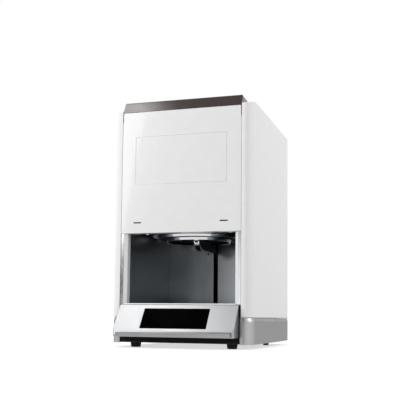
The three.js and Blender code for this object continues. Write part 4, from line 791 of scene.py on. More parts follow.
def finishes():
    """Each finish: its maker, its label, its base colour and its own values."""
    shades = colours()
    return {
        "white cover": (coated, "Powder-coated white", shades.cover_white, {
            "rough": 0.5, "peel": 0.05, "scale": 700.0, "gloss": 0.35}),
        "white panel": (coated, "Glossy pale panel", shades.panel_white, {
            "rough": 0.16, "coat": 0.55, "peel": 0.012, "scale": 400.0, "dust": 0.0}),
        "brown cap": (coated, "Glossy brown cap", shades.cap_brown, {
            "rough": 0.10, "peel": 0.01, "scale": 400.0, "dust": 0.03, "gloss": 0.4}),
        "silver console": (coated, "Silver console paint", shades.console_silver, {
            "rough": 0.28, "peel": 0.02, "scale": 1500.0, "dust": 0.02, "spread": 0.04,
            "metallic": 0.9, "rim": 0.6}),
        # Turned full up from shallow slopes, the upward-face grey makes the skirt's shoulder
        # lighter: painted light, not dusting
        "grey base": (coated, "Silver-grey base paint", shades.base_grey, {
            "rough": 0.28, "peel": 0.03, "scale": 1500.0, "dust": 1.0, "spread": 0.04,
            "metallic": 0.9, "rim": 0.45, "slope": 0.1}),
        "black plastic": (coated, "Moulded black plastic", (0.016, 0.016, 0.018), {
            "rough": 0.42, "peel": 0.25, "scale": 1600.0, "dust": 0.06, "spread": 0.1,
            "wear": 0.2}),
        "black paint": (coated, "Black painted steel", shades.dark_steel, {
            "rough": 0.44, "peel": 0.10, "dust": 0.08, "spread": 0.08, "wear": 0.3,
            "gloss": 0.3}),
        "dark sheet": (coated, "Matt black sheet", shades.dark_steel, {
            "rough": 0.6, "peel": 0.06, "dust": 0.0, "spread": 0.08, "gloss": 0.05}),
        "black anodised": (coated, "Black anodised aluminium", (0.012, 0.012, 0.013), {
            "rough": 0.4, "peel": 0.04, "scale": 1500.0, "dust": 0.0, "spread": 0.08,
            "gloss": 0.2}),
        "rubber": (coated, "Black rubber", (0.008, 0.008, 0.008), {
            "rough": 0.62, "peel": 0.35, "scale": 1200.0, "dust": 0.04, "spread": 0.15,
            "gloss": 0.25}),
        # Near white, so that the jamb returns and the sill bead read bright: a painted highlight
        "satin strip": (coated, "Satin trim strip", (0.95, 0.96, 0.97), {
            "rough": 0.24, "coat": 0.3, "peel": 0.01, "scale": 1500.0, "dust": 0.0,
            "spread": 0.03}),
        "board": (coated, "Green circuit board", shades.board, {
            "rough": 0.3, "coat": 0.4, "peel": 0.05, "scale": 500.0, "dust": 0.2}),
        "tape": (coated, "Yellow winding tape", (0.72, 0.46, 0.06), {
            "rough": 0.35, "coat": 0.3, "peel": 0.3, "scale": 260.0, "dust": 0.2}),
        "screen": (glazed, "Black screen glass", (0.0008, 0.0008, 0.001), {
            "smear": (0.0016, 0.0016, 0.0018)}),
        "bright steel": (metal, "Polished steel", shades.steel, {
            "rough": 0.10, "stretch": (25.0, 25.0, 1400.0), "depth": 0.02, "spread": 0.06}),
        "turned steel": (metal, "Turned steel", shades.steel, {
            "rough": 0.09, "stretch": even(1200.0), "depth": 0.01, "spread": 0.03}),
        "liner across": (metal, "Liner steel brushed across", shades.liner, {
            "rough": 0.17, "stretch": (12.0, 900.0, 2500.0), "depth": 0.01, "spread": 0.02}),
        "liner back": (metal, "Liner steel brushed to the back", shades.liner, {
            "rough": 0.28, "stretch": (900.0, 12.0, 2500.0), "depth": 0.01, "spread": 0.02}),
        "chrome": (metal, "Chrome", (0.82, 0.83, 0.84), {
            "rough": 0.08, "stretch": even(900.0), "depth": 0.01, "spread": 0.02}),
        "bright trim": (metal, "Polished trim", (0.86, 0.87, 0.88), {
            "rough": 0.16, "stretch": (900.0, 900.0, 12.0), "depth": 0.01, "spread": 0.03}),
        "zinc": (metal, "Zinc-plated sheet", (0.50, 0.51, 0.53), {
            "rough": 0.34, "stretch": even(240.0), "depth": 0.05, "spread": 0.18}),
        "aluminium": (metal, "Machined aluminium", (0.66, 0.67, 0.68), {
            "rough": 0.30, "stretch": (40.0, 900.0, 900.0), "depth": 0.08, "spread": 0.1}),
        "oiled bronze": (metal, "Oiled bronze", tone(shades.brass, 0.25)[:3], {
            "rough": 0.35, "stretch": (900.0, 900.0, 60.0), "depth": 0.05, "spread": 0.1}),
        "copper": (metal, "Copper winding", (0.62, 0.27, 0.13), {
            "rough": 0.3, "stretch": (60.0, 60.0, 1500.0), "depth": 0.3, "spread": 0.1}),
        "fibre": (fibrous, "Ceramic fibre board", shades.fibre, {}),
        "zirconia": (fibrous, "Zirconia ceramic", shades.zirconia, {
            "rough": 0.6, "scale": 900.0, "depth": 0.12}),
        "element": (fibrous, "Heating element", shades.element, {
            "rough": 0.5, "scale": 700.0, "depth": 0.2}),
    }


LOOKS = {}


def look(name):
    """A finish of the furnace, built the first time it is asked for."""
    if name not in LOOKS:
        maker, label, base, values = finishes()[name]
        LOOKS[name] = maker(label, base, **values)
    return LOOKS[name]


# Operators: one for each piece or group of like pieces

class FURNACE_OT_side_covers(bpy.types.Operator):
    """Model the white side covers with their round front corner and falling brow"""

    bl_idname = "furnace.side_covers"
    bl_label = "Side Covers"
    bl_options = {"REGISTER", "UNDO"}

    brow_rows: IntProperty(
        name="Brow Rows", description="Steps in the curve of the falling brow", default=10, min=2)
    hem_radius: length("Hem Radius", "Radius along the covers' lower edge", 2)

    def execute(self, context):
        size = sizes()
        low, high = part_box("side_cover_right")
        brow = [
            (low.x, low.y + size.brow_run * share, high.z - size.brow_fall * (1 - share) ** 2)
            for share in [row / self.brow_rows for row in range(self.brow_rows + 1)]]
        outline = [(low.x, low.y, low.z), *brow, (low.x, high.y, high.z), (low.x, high.y, low.z)]
        cover = prism("side_cover_shell_right", outline, (high.x - low.x, 0, 0))
        kept_within(cover, self.plan(low, high))
        open_side = on_planes(("x", low.x), ("y", high.y))
        brow_low = high.z - size.brow_fall - MM
        rounded(cover, lambda edge: (
            crisp(edge) and middle(edge).z > brow_low and not open_side(edge)), size.soft_edge)
        hem = lies(z=low.z)
        rounded(cover, lambda edge: hem(edge) and not open_side(edge), self.hem_radius)
        removed(cover, on_planes(("x", low.x), ("y", high.y), ("z", low.z)))
        thickened(cover, size.cover_wall)
        softened(cover, width=size.fine_edge, angle=50, clamp=False)
        twin = mirrored(cover, "side_cover_shell_left")
        dressed(cover, "white cover", "side_cover_right")
        dressed(twin, "white cover", "side_cover_left")
        return {"FINISHED"}

    def plan(self, low, high):
        """A cutter whose front corner is a quarter of an oval."""
        size = sizes()
        plan = block(
            "plan_tool", (high.x - 4 * size.column_depth, low.y, low.z - MM),
            (high.x, high.y + MM, high.z + MM))
        rounded(plan, lies(along="z", x=high.x, y=low.y), size.column_depth, size.corner_steps)
        taken(plan)
        share = size.column_width / size.column_depth
        bpy.ops.transform.resize(value=(share, 1, 1), center_override=(high.x, 0, 0))
        bpy.ops.object.transform_apply(location=True, rotation=True, scale=True)
        return plan


class FURNACE_OT_fascia(bpy.types.Operator):
    """Model the glossy front fascia with its vent slots, fine panel line and corner slits"""

    bl_idname = "furnace.fascia"
    bl_label = "Front Fascia"
    bl_options = {"REGISTER", "UNDO"}

    slot_length: length("Slot Length", "Length of the two short vent slots", 20)
    slot_width: length("Slot Width", "Width of the two short vent slots", 3.2)
    slot_pitch: length("Slot Pitch", "Distance between the vent slots' middles", 217)
    slot_rise: length("Slot Rise", "Height of the vent slots above the lower edge", 25.5)
    line_width: length("Panel Line Width", "Width of the fine line", 1.5)
    line_depth: length("Panel Line Depth", "Depth of the fine line", 0.9)
    line_span: length("Panel Line Span", "Width of the rectangle that the line draws", 231)
    line_height: length("Panel Line Height", "Height of the rectangle that the line draws", 119)
    line_rise: length("Panel Line Rise", "Height of the rectangle above the lower edge", 117)
    slit_height: length("Slit Height", "Height of the slits at the upper corners", 25)
    slit_width: length("Slit Width", "Width of the slits at the upper corners", 1.8)
    shade_pad_gap: length("Seal Gap", "Room between the panel's wall and the slots' seals", 0.2)

    def execute(self, context):
        size = sizes()
        low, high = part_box("front_fascia")
        face = block("fascia_panel", low, high)
        self.panel_line(face, low, high)
        side_edges = on_planes(("x", low.x), ("x", high.x), ("z", low.z), ("z", high.z))
        rounded(face, lambda edge: lies(y=low.y)(edge) and side_edges(edge), size.soft_edge)
        thickened(face, size.cover_wall)
        spots = [
            Vector((side * self.slot_pitch / 2, low.y, low.z + self.slot_rise))
            for side in SIDES]
        tools = [
            slot_tool(spot, self.slot_length, self.slot_width, high.y - low.y, lengthwise="x")
            for spot in spots]
        for side in SIDES:
            edge = side * high.x
            tools.append(block(
                "slit_tool",
                (edge - self.slit_width, low.y - MM, high.z - self.slit_height),
                (edge + self.slit_width, (low.y + high.y) / 2, high.z + MM)))
        cut(face, tools)
        softened(face, width=size.fine_edge / 2, angle=50, clamp=False)
        dressed(face, "white panel", "front_fascia")
        # Black pads behind the slots stand in for the shade inside them
        self.shade_pads(spots)
        return {"FINISHED"}

    def panel_line(self, face, low, high):
        """Open the panel's back and sink the fine rectangular line into its front."""
        half_span = self.line_span / 2
        line_low = low.z + self.line_rise
        line_high = line_low + self.line_height
        inner_span = half_span - self.line_width
        inner_low, inner_high = line_low + self.line_width, line_high - self.line_width
        sliced(face, "x", [-half_span, -inner_span, inner_span, half_span])
        sliced(face, "z", [line_low, inner_low, inner_high, line_high])
        removed(face, faces_to("y", 1, y=high.y))

        def in_line(one):
            centre = middle(one)
            inside = abs(centre.x) < half_span and line_low < centre.z < line_high
            within = abs(centre.x) < inner_span and inner_low < centre.z < inner_high
            return one.normal.y < -0.9 and inside and not within

        pick(face, "FACE", in_line)
        bpy.ops.mesh.extrude_region_move(
            TRANSFORM_OT_translate={"value": (0, self.line_depth, 0)})
        closed()

    def shade_pads(self, spots):
        """Black pads behind the vent slots: painted shade that darkens the view through them."""
        half = Vector((self.slot_length * 0.7, MM, self.slot_width * 2))
        behind = Vector((0, sizes().cover_wall + self.shade_pad_gap + half.y, 0))
        pads = [
            softened(block("slot_shade_pad", spot + behind - half, spot + behind + half), width=0.4 * MM)
            for spot in spots]
        placed(joined(pads, "slot_shade_pads"), "black plastic", "cabinet")


class FURNACE_OT_top_cap(bpy.types.Operator):
    """Model the leaning brown cap with its round upper corners"""

    bl_idname = "furnace.top_cap"
    bl_label = "Top Cap"
    bl_options = {"REGISTER", "UNDO"}

    lean: length("Lean", "How far the front leans back to its upper edge", 14)
    brow_depth: length("Brow Depth", "Depth of the nearly flat top", 76)
    fall: length("Fall", "How far the flat top falls to the back", 3)
    stand: length("Stand", "How far the back edge lies below the front's upper edge", 12)
    corner: length("Corner Radius", "Radius of the upper corners at the sides", 5)
    ridge: length("Ridge Radius", "Radius of the upper edges that run across", 3)

    def execute(self, context):
        size = sizes()
        low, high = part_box("top_cap")
        outline = [
            (low.x, low.y, low.z),
            (low.x, high.y, low.z),
            (low.x, high.y, high.z - self.stand),
            (low.x, low.y + self.brow_depth, high.z - self.fall),
            (low.x, low.y + self.lean, high.z),
        ]
        cap = prism("cap_shell", outline, (high.x - low.x, 0, 0))
        across = lies(along="x")

        def at_side(edge):
            centre = middle(edge)
            on_top = centre.z > high.z - self.stand and centre.y > low.y + self.lean * 0.9
            return on_top and not across(edge)

        rounded(cap, at_side, self.corner, 8)
        rounded(
            cap, lambda edge: across(edge) and middle(edge).z > low.z + self.stand, self.ridge, 6)
        removed(cap, faces_to("z", -1, z=low.z))
        thickened(cap, size.cover_wall)
        softened(cap, width=size.fine_edge)
        dressed(cap, "brown cap", "top_cap")
        return {"FINISHED"}


def row_of(count, pitch):
    """Places at one pitch, centred on nought."""
    return [(index - (count - 1) / 2) * pitch for index in range(count)]


class FURNACE_OT_roof(bpy.types.Operator):
    """Model the roof sheet with its row of vent slots"""

    bl_idname = "furnace.roof"
    bl_label = "Roof Cover"
    bl_options = {"REGISTER", "UNDO"}

    sheet: length("Sheet", "Gauge of the roof sheet", 1.5)
    vent_count: IntProperty(
        name="Vents", description="Number of slots in the roof's row", default=9, min=1)
    vent_setback: length("Vent Setback", "Distance of the vents from the rear edge", 62)
    flange_setback: length("Flange Setback", "Distance of the flanges from the rear edge", 11.3)
    flange_gap: length("Flange Gap", "Room between a flange and the chassis", 0.3)

    def execute(self, context):
        size = sizes()
        low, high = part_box("roof_cover")
        roof = block("roof_sheet", (low.x, low.y, high.z - self.sheet), high)
        cut(roof, [
            slot_tool(
                (across, high.y - self.vent_setback, high.z), size.vent_length, size.vent_width,
                4 * MM, through="z", lengthwise="y")
            for across in row_of(self.vent_count, size.vent_pitch)])
        softened(roof, width=0.4 * MM, angle=50)
        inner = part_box("chassis_side_right")[1].x + self.flange_gap
        flange = block(
            "flange", (inner, low.y, low.z),
            (inner + self.sheet, high.y - self.flange_setback, high.z - self.sheet))
        softened(flange, width=0.2 * MM)
        joined([roof, flange, mirrored(flange, "flange")])
        dressed(roof, "white cover", "roof_cover")
        return {"FINISHED"}


class FURNACE_OT_rear_cover(bpy.types.Operator):
    """Model the rear pan with its vents and the openings for fan, inlet and switch"""

    bl_idname = "furnace.rear_cover"
    bl_label = "Rear Cover"
    bl_options = {"REGISTER", "UNDO"}

    wall: length("Wall", "Wall of the rear pan", 2)
    corner: length("Corner Radius", "Radius of the pan's corners", 2.5)
    vent_count: IntProperty(
        name="Vents", description="Number of slots in either row", default=11, min=1)
    low_rise: length("Low Vent Rise", "Height of the lower row above the lower edge", 66)
    low_shift: length("Low Vent Shift", "How far the lower row lies to one side", 60)
    high_drop: length("High Vent Drop", "Depth of the upper row below the upper edge", 44)
    fan_bore: length("Fan Bore", "Radius of the hole for the fan", 42)
    opening_ease: length("Opening Ease", "Room round the inlet and the switch", 0.3)

    def execute(self, context):
        size = sizes()
        low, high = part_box("rear_cover")
        pan = block("rear_pan", low, high)
        rounded(pan, lies(along="y"), self.corner, 6)
        removed(pan, faces_to("y", -1, y=low.y))
        rounded(pan, lies(y=high.y), size.soft_edge, 4)
        thickened(pan, self.wall)
        # Lines between the openings, so that the face's triangles stay well shaped
        fan = middle_of("fan_frame")
        clear = 1.4 * self.fan_bore
        sliced(pan, "z", [fan.z - clear, fan.z + clear])
        sliced(pan, "x", [-size.vent_pitch * (self.vent_count + 1) / 2])
        cut(pan, [*self.vents(low, high), *self.openings(fan, high.y)])
        softened(pan, width=0.35 * MM, angle=50, clamp=False)
        dressed(pan, "white cover", "rear_cover")
        return {"FINISHED"}

    def vents(self, low, high):
        """Cutters for the lower and the upper row of slots."""
        size = sizes()
        tools = []
        for across in row_of(self.vent_count, size.vent_pitch):
            for x, z in (
                    (across + self.low_shift, low.z + self.low_rise),
                    (across, high.z - self.high_drop)):
                tools.append(slot_tool(
                    (x, high.y, z), size.vent_length, size.vent_width, 6 * MM, lengthwise="z"))
        return tools

    def openings(self, fan, face):
        """Cutters for the fan's hole, the inlet and the switch."""
        front, back = face - 8 * MM, face + 8 * MM
        tools = [cylinder(
            "fan_tool", self.fan_bore, (fan.x, front, fan.z), (fan.x, back, fan.z),
            sizes().round_steps)]
        for node, across, up in (
                ("mains_inlet", 8 * MM, 1.5 * MM), ("switch_bezel", 2.4 * MM, 2.4 * MM)):
            one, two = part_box(node)
            across, up = across - self.opening_ease, up - self.opening_ease
            tool = block(
                "opening_tool", (one.x + across, front, one.z + up),
                (two.x - across, back, two.z - up))
            tools.append(rounded(tool, lies(along="y"), 2 * MM, 4))
        return tools


class FURNACE_OT_base(bpy.types.Operator):
    """Model the silver base skirt with its bowed sides and shoulder, the pan and the feet"""

    bl_idname = "furnace.base"
    bl_label = "Base"
    bl_options = {"REGISTER", "UNDO"}

    rows: IntProperty(
        name="Rows", description="Lines of edges along a bowed side", default=14, min=2)
    flare: FloatProperty(
        name="Flare", description="Share of the bow that the ends of the sides already have",
        default=0.5, min=0, max=1, subtype="FACTOR")
    gate: length("Gate", "Half width of the front opening", 148.2)
    wall: length("Wall", "Wall of the skirt", 3)
    shoulder_radius: length("Shoulder Radius", "Radius along the foot of the shoulder", 2.6)

    def execute(self, context):
        self.skirt()
        # The pan is painted black so that its lower front edge is as dark as the shade under the
        # console: painted shade
        redressed("base_pan", "black paint", edge=0.3 * MM)
        # The kick panel's matt black is partly painted shade, standing in for the shade under the
        # console's lip
        redressed("kick_panel", "dark sheet", edge=0.3 * MM)
        for node in ("foot_front_left", "foot_front_right", "foot_rear_left", "foot_rear_right"):
            self.foot(node)
        return {"FINISHED"}

    def skirt(self):
        """The skirt, whose sides bow out below the shoulder."""
        size = sizes()
        low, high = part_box("base_skirt")
        step = self.flare * size.skirt_bulge
        out = high.x - size.skirt_bulge + step
        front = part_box("side_cover_right")[0].y
        shoulder = high.z - size.skirt_shoulder
        corner = size.skirt_corner
        skirt = block("skirt_shell", (-out, front, low.z), (out, high.y, high.z))
        rounded(skirt, lies(along="z", y=front), corner, size.corner_steps + 4)
        rounded(skirt, lies(along="z", y=high.y), corner / 2, size.corner_steps)
        pick(skirt, "VERT", lies(y=(front, front + corner)))
        bpy.ops.transform.resize(
            value=(1, size.skirt_depth / corner, 1), center_override=(0, front, 0))
        closed()
        sliced(skirt, "z", [shoulder])
        for side in SIDES:
            near = sorted((side * out, side * (out - corner)))
            pick(skirt, "VERT", lies(x=tuple(near), z=high.z))
            bpy.ops.transform.translate(value=(-side * step, 0, 0))
            closed()
        self.bow(skirt, out, front + size.skirt_depth, high.y - corner / 2, (low.z, shoulder))
        sliced(skirt, "x", [-self.gate, self.gate])
        ends = on_planes(("z", low.z), ("z", high.z))
        gate = lies(x=(-self.gate, self.gate), y=(front, front + 0.5 * MM))
        removed(skirt, lambda face: ends(face) or gate(face))
        rounded(skirt, lies(z=shoulder), self.shoulder_radius, 5)
        thickened(skirt, self.wall)
        softened(skirt, width=0.8 * MM, steps=3, angle=50)
        dressed(skirt, "grey base", "base_skirt")

    def bow(self, skirt, out, start, end, heights):
        """Bow the sides outwards between two places, at the heights below the shoulder."""
        most = (1 - self.flare) * sizes().skirt_bulge
        shares = [index / self.rows for index in range(1, self.rows)]
        sliced(skirt, "y", [start + (end - start) * share for share in shares])
        for share in shares:
            move = 4 * most * share * (1 - share)
            for side in SIDES:
                row = lies(x=side * out, y=start + (end - start) * share, z=heights)
                pick(skirt, "VERT", row)
                bpy.ops.transform.translate(value=(side * move, 0, 0))
                closed()

    def foot(self, node):
        """A tapered rubber foot with a screw set in its sole."""
        low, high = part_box(node)
        centre = (low + high) / 2
        top = (high.x - low.x) / 2
        # The radii below belong to a foot of 12.8 mm radius
        unit = top / 12.8
        sole, pit_rim, pit_floor, pit_depth = 11.2 * unit, 3.6 * unit, 3.2 * unit, 3 * MM
        profile = [
            (0, pit_depth), (pit_floor, pit_depth), (pit_rim, 0), (sole, 0),
            (top, high.z - 3.1 * MM), (top, high.z), (0, high.z)]
        foot = turned(f"rubber_{node}", profile, (centre.x, centre.y, 0), 64)
        softened(foot, width=0.8 * unit, steps=3, angle=25)
        dressed(foot, "rubber", node)
        face = Vector((centre.x, centre.y, 1.4 * MM))
        root = Vector((centre.x, centre.y, 2.9 * MM))
        screw = cylinder(f"screw_{node}", 2.6 * unit, face, root, 32)
        crossed(screw, face, 1.6 * unit, "z")
        softened(screw, width=0.2 * MM)
        placed(screw, "zinc", "cabinet")


def middle_of(node):
    """The middle of a CAD node's box."""
    low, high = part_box(node)
    return (low + high) / 2


def crossed(head, centre, reach, axis):
    """Cut a cross recess into a screw head's face at a centre."""
    centre = Vector(centre)
    arms = []
    for along in [one for one in "xyz" if one != axis]:
        half = {one: reach * 0.22 for one in "xyz"}
        half[along] = reach
        half[axis] = reach * 0.5
        extent = Vector((half["x"], half["y"], half["z"]))
        arms.append(block("cross_tool", centre - extent, centre + extent))
    fused(arms[0], [arms[1]])
    return cut(head, [arms[0]])


class FURNACE_OT_console(bpy.types.Operator):
    """Model the sloped console with its lip and flush touch screen"""

    bl_idname = "furnace.console"
    bl_label = "Console"
    bl_options = {"REGISTER", "UNDO"}

    ledge: length("Ledge", "Flat ledge between the fascia and the slope", 3)
    lip: length("Lip Height", "Height of the upright lip in front", 12)
    corner: length("Corner Radius", "Radius of the front corners", 9)
    edge: length("Edge Radius", "Radius of the creases that run across", 2.2)
    window_ease: length("Window Ease", "Room round the screen glass", 0.35)
    glass_corner: length("Glass Corner", "Radius of the screen glass's corners", 1.2)
    bead_rise: length("Bead Rise", "Height of the bead behind the ledge", 2.2)
    bead_radius: length("Bead Radius", "Radius of the bead's upper edges", 0.9)

    def execute(self, context):
        low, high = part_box("console_housing")
        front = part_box("front_fascia")[0].y
        self.shell(low, high, front)
        self.screen()
        self.bead(low, high, front)
        return {"FINISHED"}

    def shell(self, low, high, front):
        """The housing: one clean half, mirrored before its wall and window are made."""
        size = sizes()
        outline = [
            (low.x, high.y, low.z),
            (low.x, high.y, high.z),
            (low.x, front - self.ledge, high.z),
            (low.x, low.y, low.z + self.lip),
            (low.x, low.y, low.z),
        ]
        shell = prism("console_shell", outline, (high.x - low.x, 0, 0))
        across = lies(along="x", y=(low.y, front))
        rounded(shell, lambda edge: across(edge) and not lies(z=low.z)(edge), self.edge, 5)
        plan = block(
            "plan_tool", (low.x, low.y, low.z - MM), (high.x, high.y + 20 * MM, high.z + MM))
        rounded(plan, lies(along="z", y=low.y), self.corner, size.corner_steps)
        kept_within(shell, plan)
        rounded(shell, lambda edge: crisp(edge) and middle(edge).y < high.y - NEAR, MM, 4)
        sliced(shell, "x", [0])
        removed(shell, lambda face: middle(face).x > 0)
        applied(shell, "MIRROR", merge_threshold=NEAR)
        removed(shell, faces_to("y", 1, y=high.y))
        cleared(shell, 5 * NEAR)
        thickened(shell, size.cover_wall, False)
        cut(shell, [screen_block("window_tool", self.window_ease)])
        near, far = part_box("screen_glass")
        window = lies(**{
            axis: (getattr(near, axis) - MM, getattr(far, axis) + MM) for axis in "xyz"})
        rounded(shell, lambda edge: window(edge) and crisp(edge), 0.25 * MM, 2)
        smooth(shell, 50)
        dressed(shell, "silver console", "console_housing")

    def screen(self):
        """The cover glass with its round corners, and the display behind it."""
        glass = screen_block("cover_glass", 0)

        def corner(edge):
            run = edge.verts[0].co - edge.verts[1].co
            return abs(run.x) < NEAR and run.length < 4 * MM

        rounded(glass, corner, self.glass_corner, 4)
        softened(glass, width=0.35 * MM, steps=3, angle=30)
        dressed(glass, "screen", "screen_glass")
        redressed("display_module", "black paint", edge=0.5 * MM)

    def bead(self, low, high, front):
        """The pale bead on the ledge, along the loading bay's sill; its near-white colour is partly
        a painted highlight of the sill's edge.
        """
        top = high.z + self.bead_rise
        bead = block(
            "console_bead", (low.x + self.corner, front - self.ledge, high.z),
            (high.x - self.corner, front - 0.4 * MM, top))
        rounded(bead, lies(z=top), self.bead_radius, 4)
        smooth(bead, 50)
        placed(bead, "satin strip", "cabinet")


def screen_block(name, ease):
    """A copy of the screen's CAD solid, grown by an ease on every side."""
    piece = merged_copy("screen_glass", name)
    if ease:
        opened(piece)
        bpy.ops.transform.shrink_fatten(value=ease, use_even_offset=True)
        closed()
    return piece


class FURNACE_OT_bay(bpy.types.Operator):
    """Line the loading bay with brushed sheet, bright jamb strips and chrome screws"""

    bl_idname = "furnace.bay"
    bl_label = "Loading Bay"
    bl_options = {"REGISTER", "UNDO"}

    sheet: length("Sheet", "Gauge of the jambs' front flanges", 1.5)
    splay: length("Splay", "Width of the slanting strips behind the flanges", 7)
    ceiling_head: length("Ceiling Screw", "Radius of the screw heads in the ceiling", 4.4)
    plate_head: length("Plate Screw", "Radius of the screw head on the back plate", 2.4)

    def execute(self, context):
        linings = (
            ("bay_wall_left", "liner back"), ("bay_wall_right", "liner back"),
            ("bay_back_plate", "liner across"), ("bay_floor", "liner across"),
            ("bay_ceiling", "dark sheet"))
        for node, finish in linings:
            redressed(node, finish, edge=0.25 * MM)
        self.jamb_trims()
        self.screws()
        return {"FINISHED"}

    def jamb_trims(self):
        """Either side of the opening: a polished front flange and a splayed return behind it,
        painted near white as a stand-in for the reflection that polished trim shows.
        """
        low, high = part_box("jamb_trim_right")
        nose = low.x + self.splay
        flange = block(
            "jamb_flange_right", (nose, low.y, low.z), (high.x, low.y + self.sheet, high.z))
        softened(flange, width=0.2 * MM)
        strip = block("jamb_return_painted_sheen_right", low, (nose, high.y, high.z))
        rounded(strip, lies(along="z", x=low.x, y=low.y), self.splay * 0.96, 1)
        softened(strip, width=0.2 * MM, angle=20)
        twins = [mirrored(flange, "jamb_flange_left"), mirrored(strip, "jamb_return_painted_sheen_left")]
        for piece, node in ((flange, "jamb_trim_right"), (twins[0], "jamb_trim_left")):
            dressed(piece, "bright trim", node)
        # The returns' near-white colour is a painted reflection of polished trim
        for piece in (strip, twins[1]):
            placed(piece, "satin strip", "cabinet")

    def screws(self):
        """Chrome heads in the ceiling and a small one on the back plate."""
        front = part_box("front_fascia")[0].y
        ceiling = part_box("bay_ceiling")[0].z
        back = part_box("bay_back_plate")[0].y
        # Millimetres across, and behind the fascia
        places = (
            (-130, 57), (-109, 71), (109, 62), (128, 96),
            (-126, 250), (-60, 284), (126, 250), (60, 284))
        heads = [
            screw_head(
                "ceiling_screw", self.ceiling_head, (x * MM, front + y * MM, ceiling), (0, 0, -1))
            for x, y in places]
        placed(joined(heads, "bay_screws"), "chrome", "cabinet")
        small = screw_head(
            "plate_screw", self.plate_head, (-21 * MM, back, 246 * MM), (0, -1, 0))
        placed(small, "black paint", "cabinet")


HEAD_SHARES = ((0, 0), (1, 0), (1, 0.25), (0.92, 0.45), (0.7, 0.6), (0, 0.66))
HEADS = {}


def screw_head(name, radius, place, facing):
    """A pan head with a cross recess, modelled once for each radius and copied."""
    if radius not in HEADS:
        profile = [(radius * out, radius * up) for out, up in HEAD_SHARES]
        head = turned("head_master", profile, (0, 0, 0), 24)
        crossed(head, (0, 0, profile[-1][1]), radius * 0.55, "z")
        smooth(head, 30)
        HEADS[radius] = head
    turn = Vector(facing).to_track_quat("Z", "Y").to_matrix().to_4x4()
    return copied(HEADS[radius], name, Matrix.Translation(Vector(place)) @ turn)


def put_away_heads():
    """Remove the screw heads that the others were copied from."""
    for head in HEADS.values():
        bpy.data.objects.remove(head, do_unlink=True)
    HEADS.clear()


def disc_of(node):
    """A round CAD node's radius, foot and top."""
    low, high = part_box(node)
    return (high.x - low.x) / 2, low.z, high.z


class FURNACE_OT_throat(bpy.types.Operator):
    """Turn the throat flange, the lift plate, the hearth plug and the setter"""

    bl_idname = "furnace.throat"
    bl_label = "Throat and Hearth"
    bl_options = {"REGISTER", "UNDO"}

    bore: length("Throat Radius", "Radius of the opening that the hearth closes", 76)
    ring_radius: length("Ring Radius", "Radius of the stiffening ring under the plate", 84)
    ring_width: length("Ring Width", "Width of the stiffening ring", 5)
    ring_depth: length("Ring Depth", "Depth of the stiffening ring", 6.5)
    plug_foot: length("Plug Foot Radius", "Radius of the hearth plug's foot", 74)
    plug_nose: length("Plug Nose Radius", "Radius of the hearth plug's upper part", 58)
    plug_step: length("Plug Step", "Height of the hearth plug's foot", 42)

    def execute(self, context):
        centre = middle_of("lift_plate")
        spot = (centre.x, centre.y, 0)
        self.flange(spot)
        self.plate(spot)
        self.ring(spot)
        self.hearth(spot)
        return {"FINISHED"}

    def flange(self, spot):
        """The polished flange, whose conical rim catches the light."""
        rim, foot, top = disc_of("throat_flange")
        flange = turned("flange_ring", [
            (self.bore, foot), (rim - 2 * MM, foot), (rim, top - 0.4 * MM), (rim, top),
            (self.bore, top), (self.bore, foot)], spot, sizes().fine_steps)
        softened(flange, width=0.3 * MM, steps=3, angle=20)
        dressed(flange, "turned steel", "throat_flange")

    def plate(self, spot):
        """The plate with its conical rim, and a matt black disc let into its underside as painted
        shade, standing in for the dark reflection there.
        """
        rim, foot, top = disc_of("lift_plate")
        recess, inner = foot + 1.2 * MM, rim - 3.2 * MM
        plate = turned("plate_disc", [
            (0, recess), (inner, recess), (inner, foot), (inner + 0.7 * MM, foot),
            (rim, top - 0.6 * MM), (rim, top), (0, top)], spot, sizes().fine_steps)
        softened(plate, width=0.25 * MM, steps=3, angle=20)
        dressed(plate, "turned steel", "lift_plate")
        # The matt black disc is painted shade: it darkens the plate's underside where the steel
        # would show a dark reflection
        edge, back = inner - 0.2 * MM, recess - 0.1 * MM
        painted_shade_disc = turned(
            "plate_painted_shade_disc", [(0, foot), (edge, foot), (edge, back), (0, back)], spot,
            sizes().fine_steps)
        softened(painted_shade_disc, width=0.2 * MM, angle=30)
        placed(painted_shade_disc, "dark sheet", "lift")

    def ring(self, spot):
        """The stiffening ring under the plate, open behind for the arm."""
        _, top, _ = disc_of("lift_plate")
        foot = top - self.ring_depth
        edge, inner = self.ring_radius, self.ring_radius - self.ring_width
        ring = turned("plate_ring", [
            (inner, top), (inner, foot), (edge - self.ring_depth * 0.4, foot),
            (edge, top - 0.5 * MM), (edge, top), (inner, top)], spot, sizes().fine_steps)
        half_gap = 8 * MM
        cut(ring, [block(
            "arm_gap", (-half_gap, spot[1], foot - MM), (half_gap, spot[1] + edge + MM, top + MM))])
        softened(ring, width=0.3 * MM, steps=3, angle=20)
        placed(ring, "turned steel", "lift")

    def hearth(self, spot):
        """The stepped fibre plug and the shallow dish on it."""
        _, foot, top = disc_of("hearth_plug")
        step = foot + self.plug_step
        plug = turned("plug_core", [
            (0, foot), (self.plug_foot, foot), (self.plug_foot, step), (self.plug_nose, step),
            (self.plug_nose, top), (0, top)], spot)
        softened(plug, width=1.5 * MM, steps=3, angle=30)
        dressed(plug, "fibre", "hearth_plug")
        rim, foot, top = disc_of("setter_plate")
        floor = top - 1.5 * MM
        setter = turned("setter_dish", [
            (0, foot), (rim, foot), (rim, top), (rim - 4 * MM, top), (rim - 4.6 * MM, floor),
            (0, floor)], spot)
        softened(setter, width=0.4 * MM, steps=3, angle=30)
        dressed(setter, "zirconia", "setter_plate")


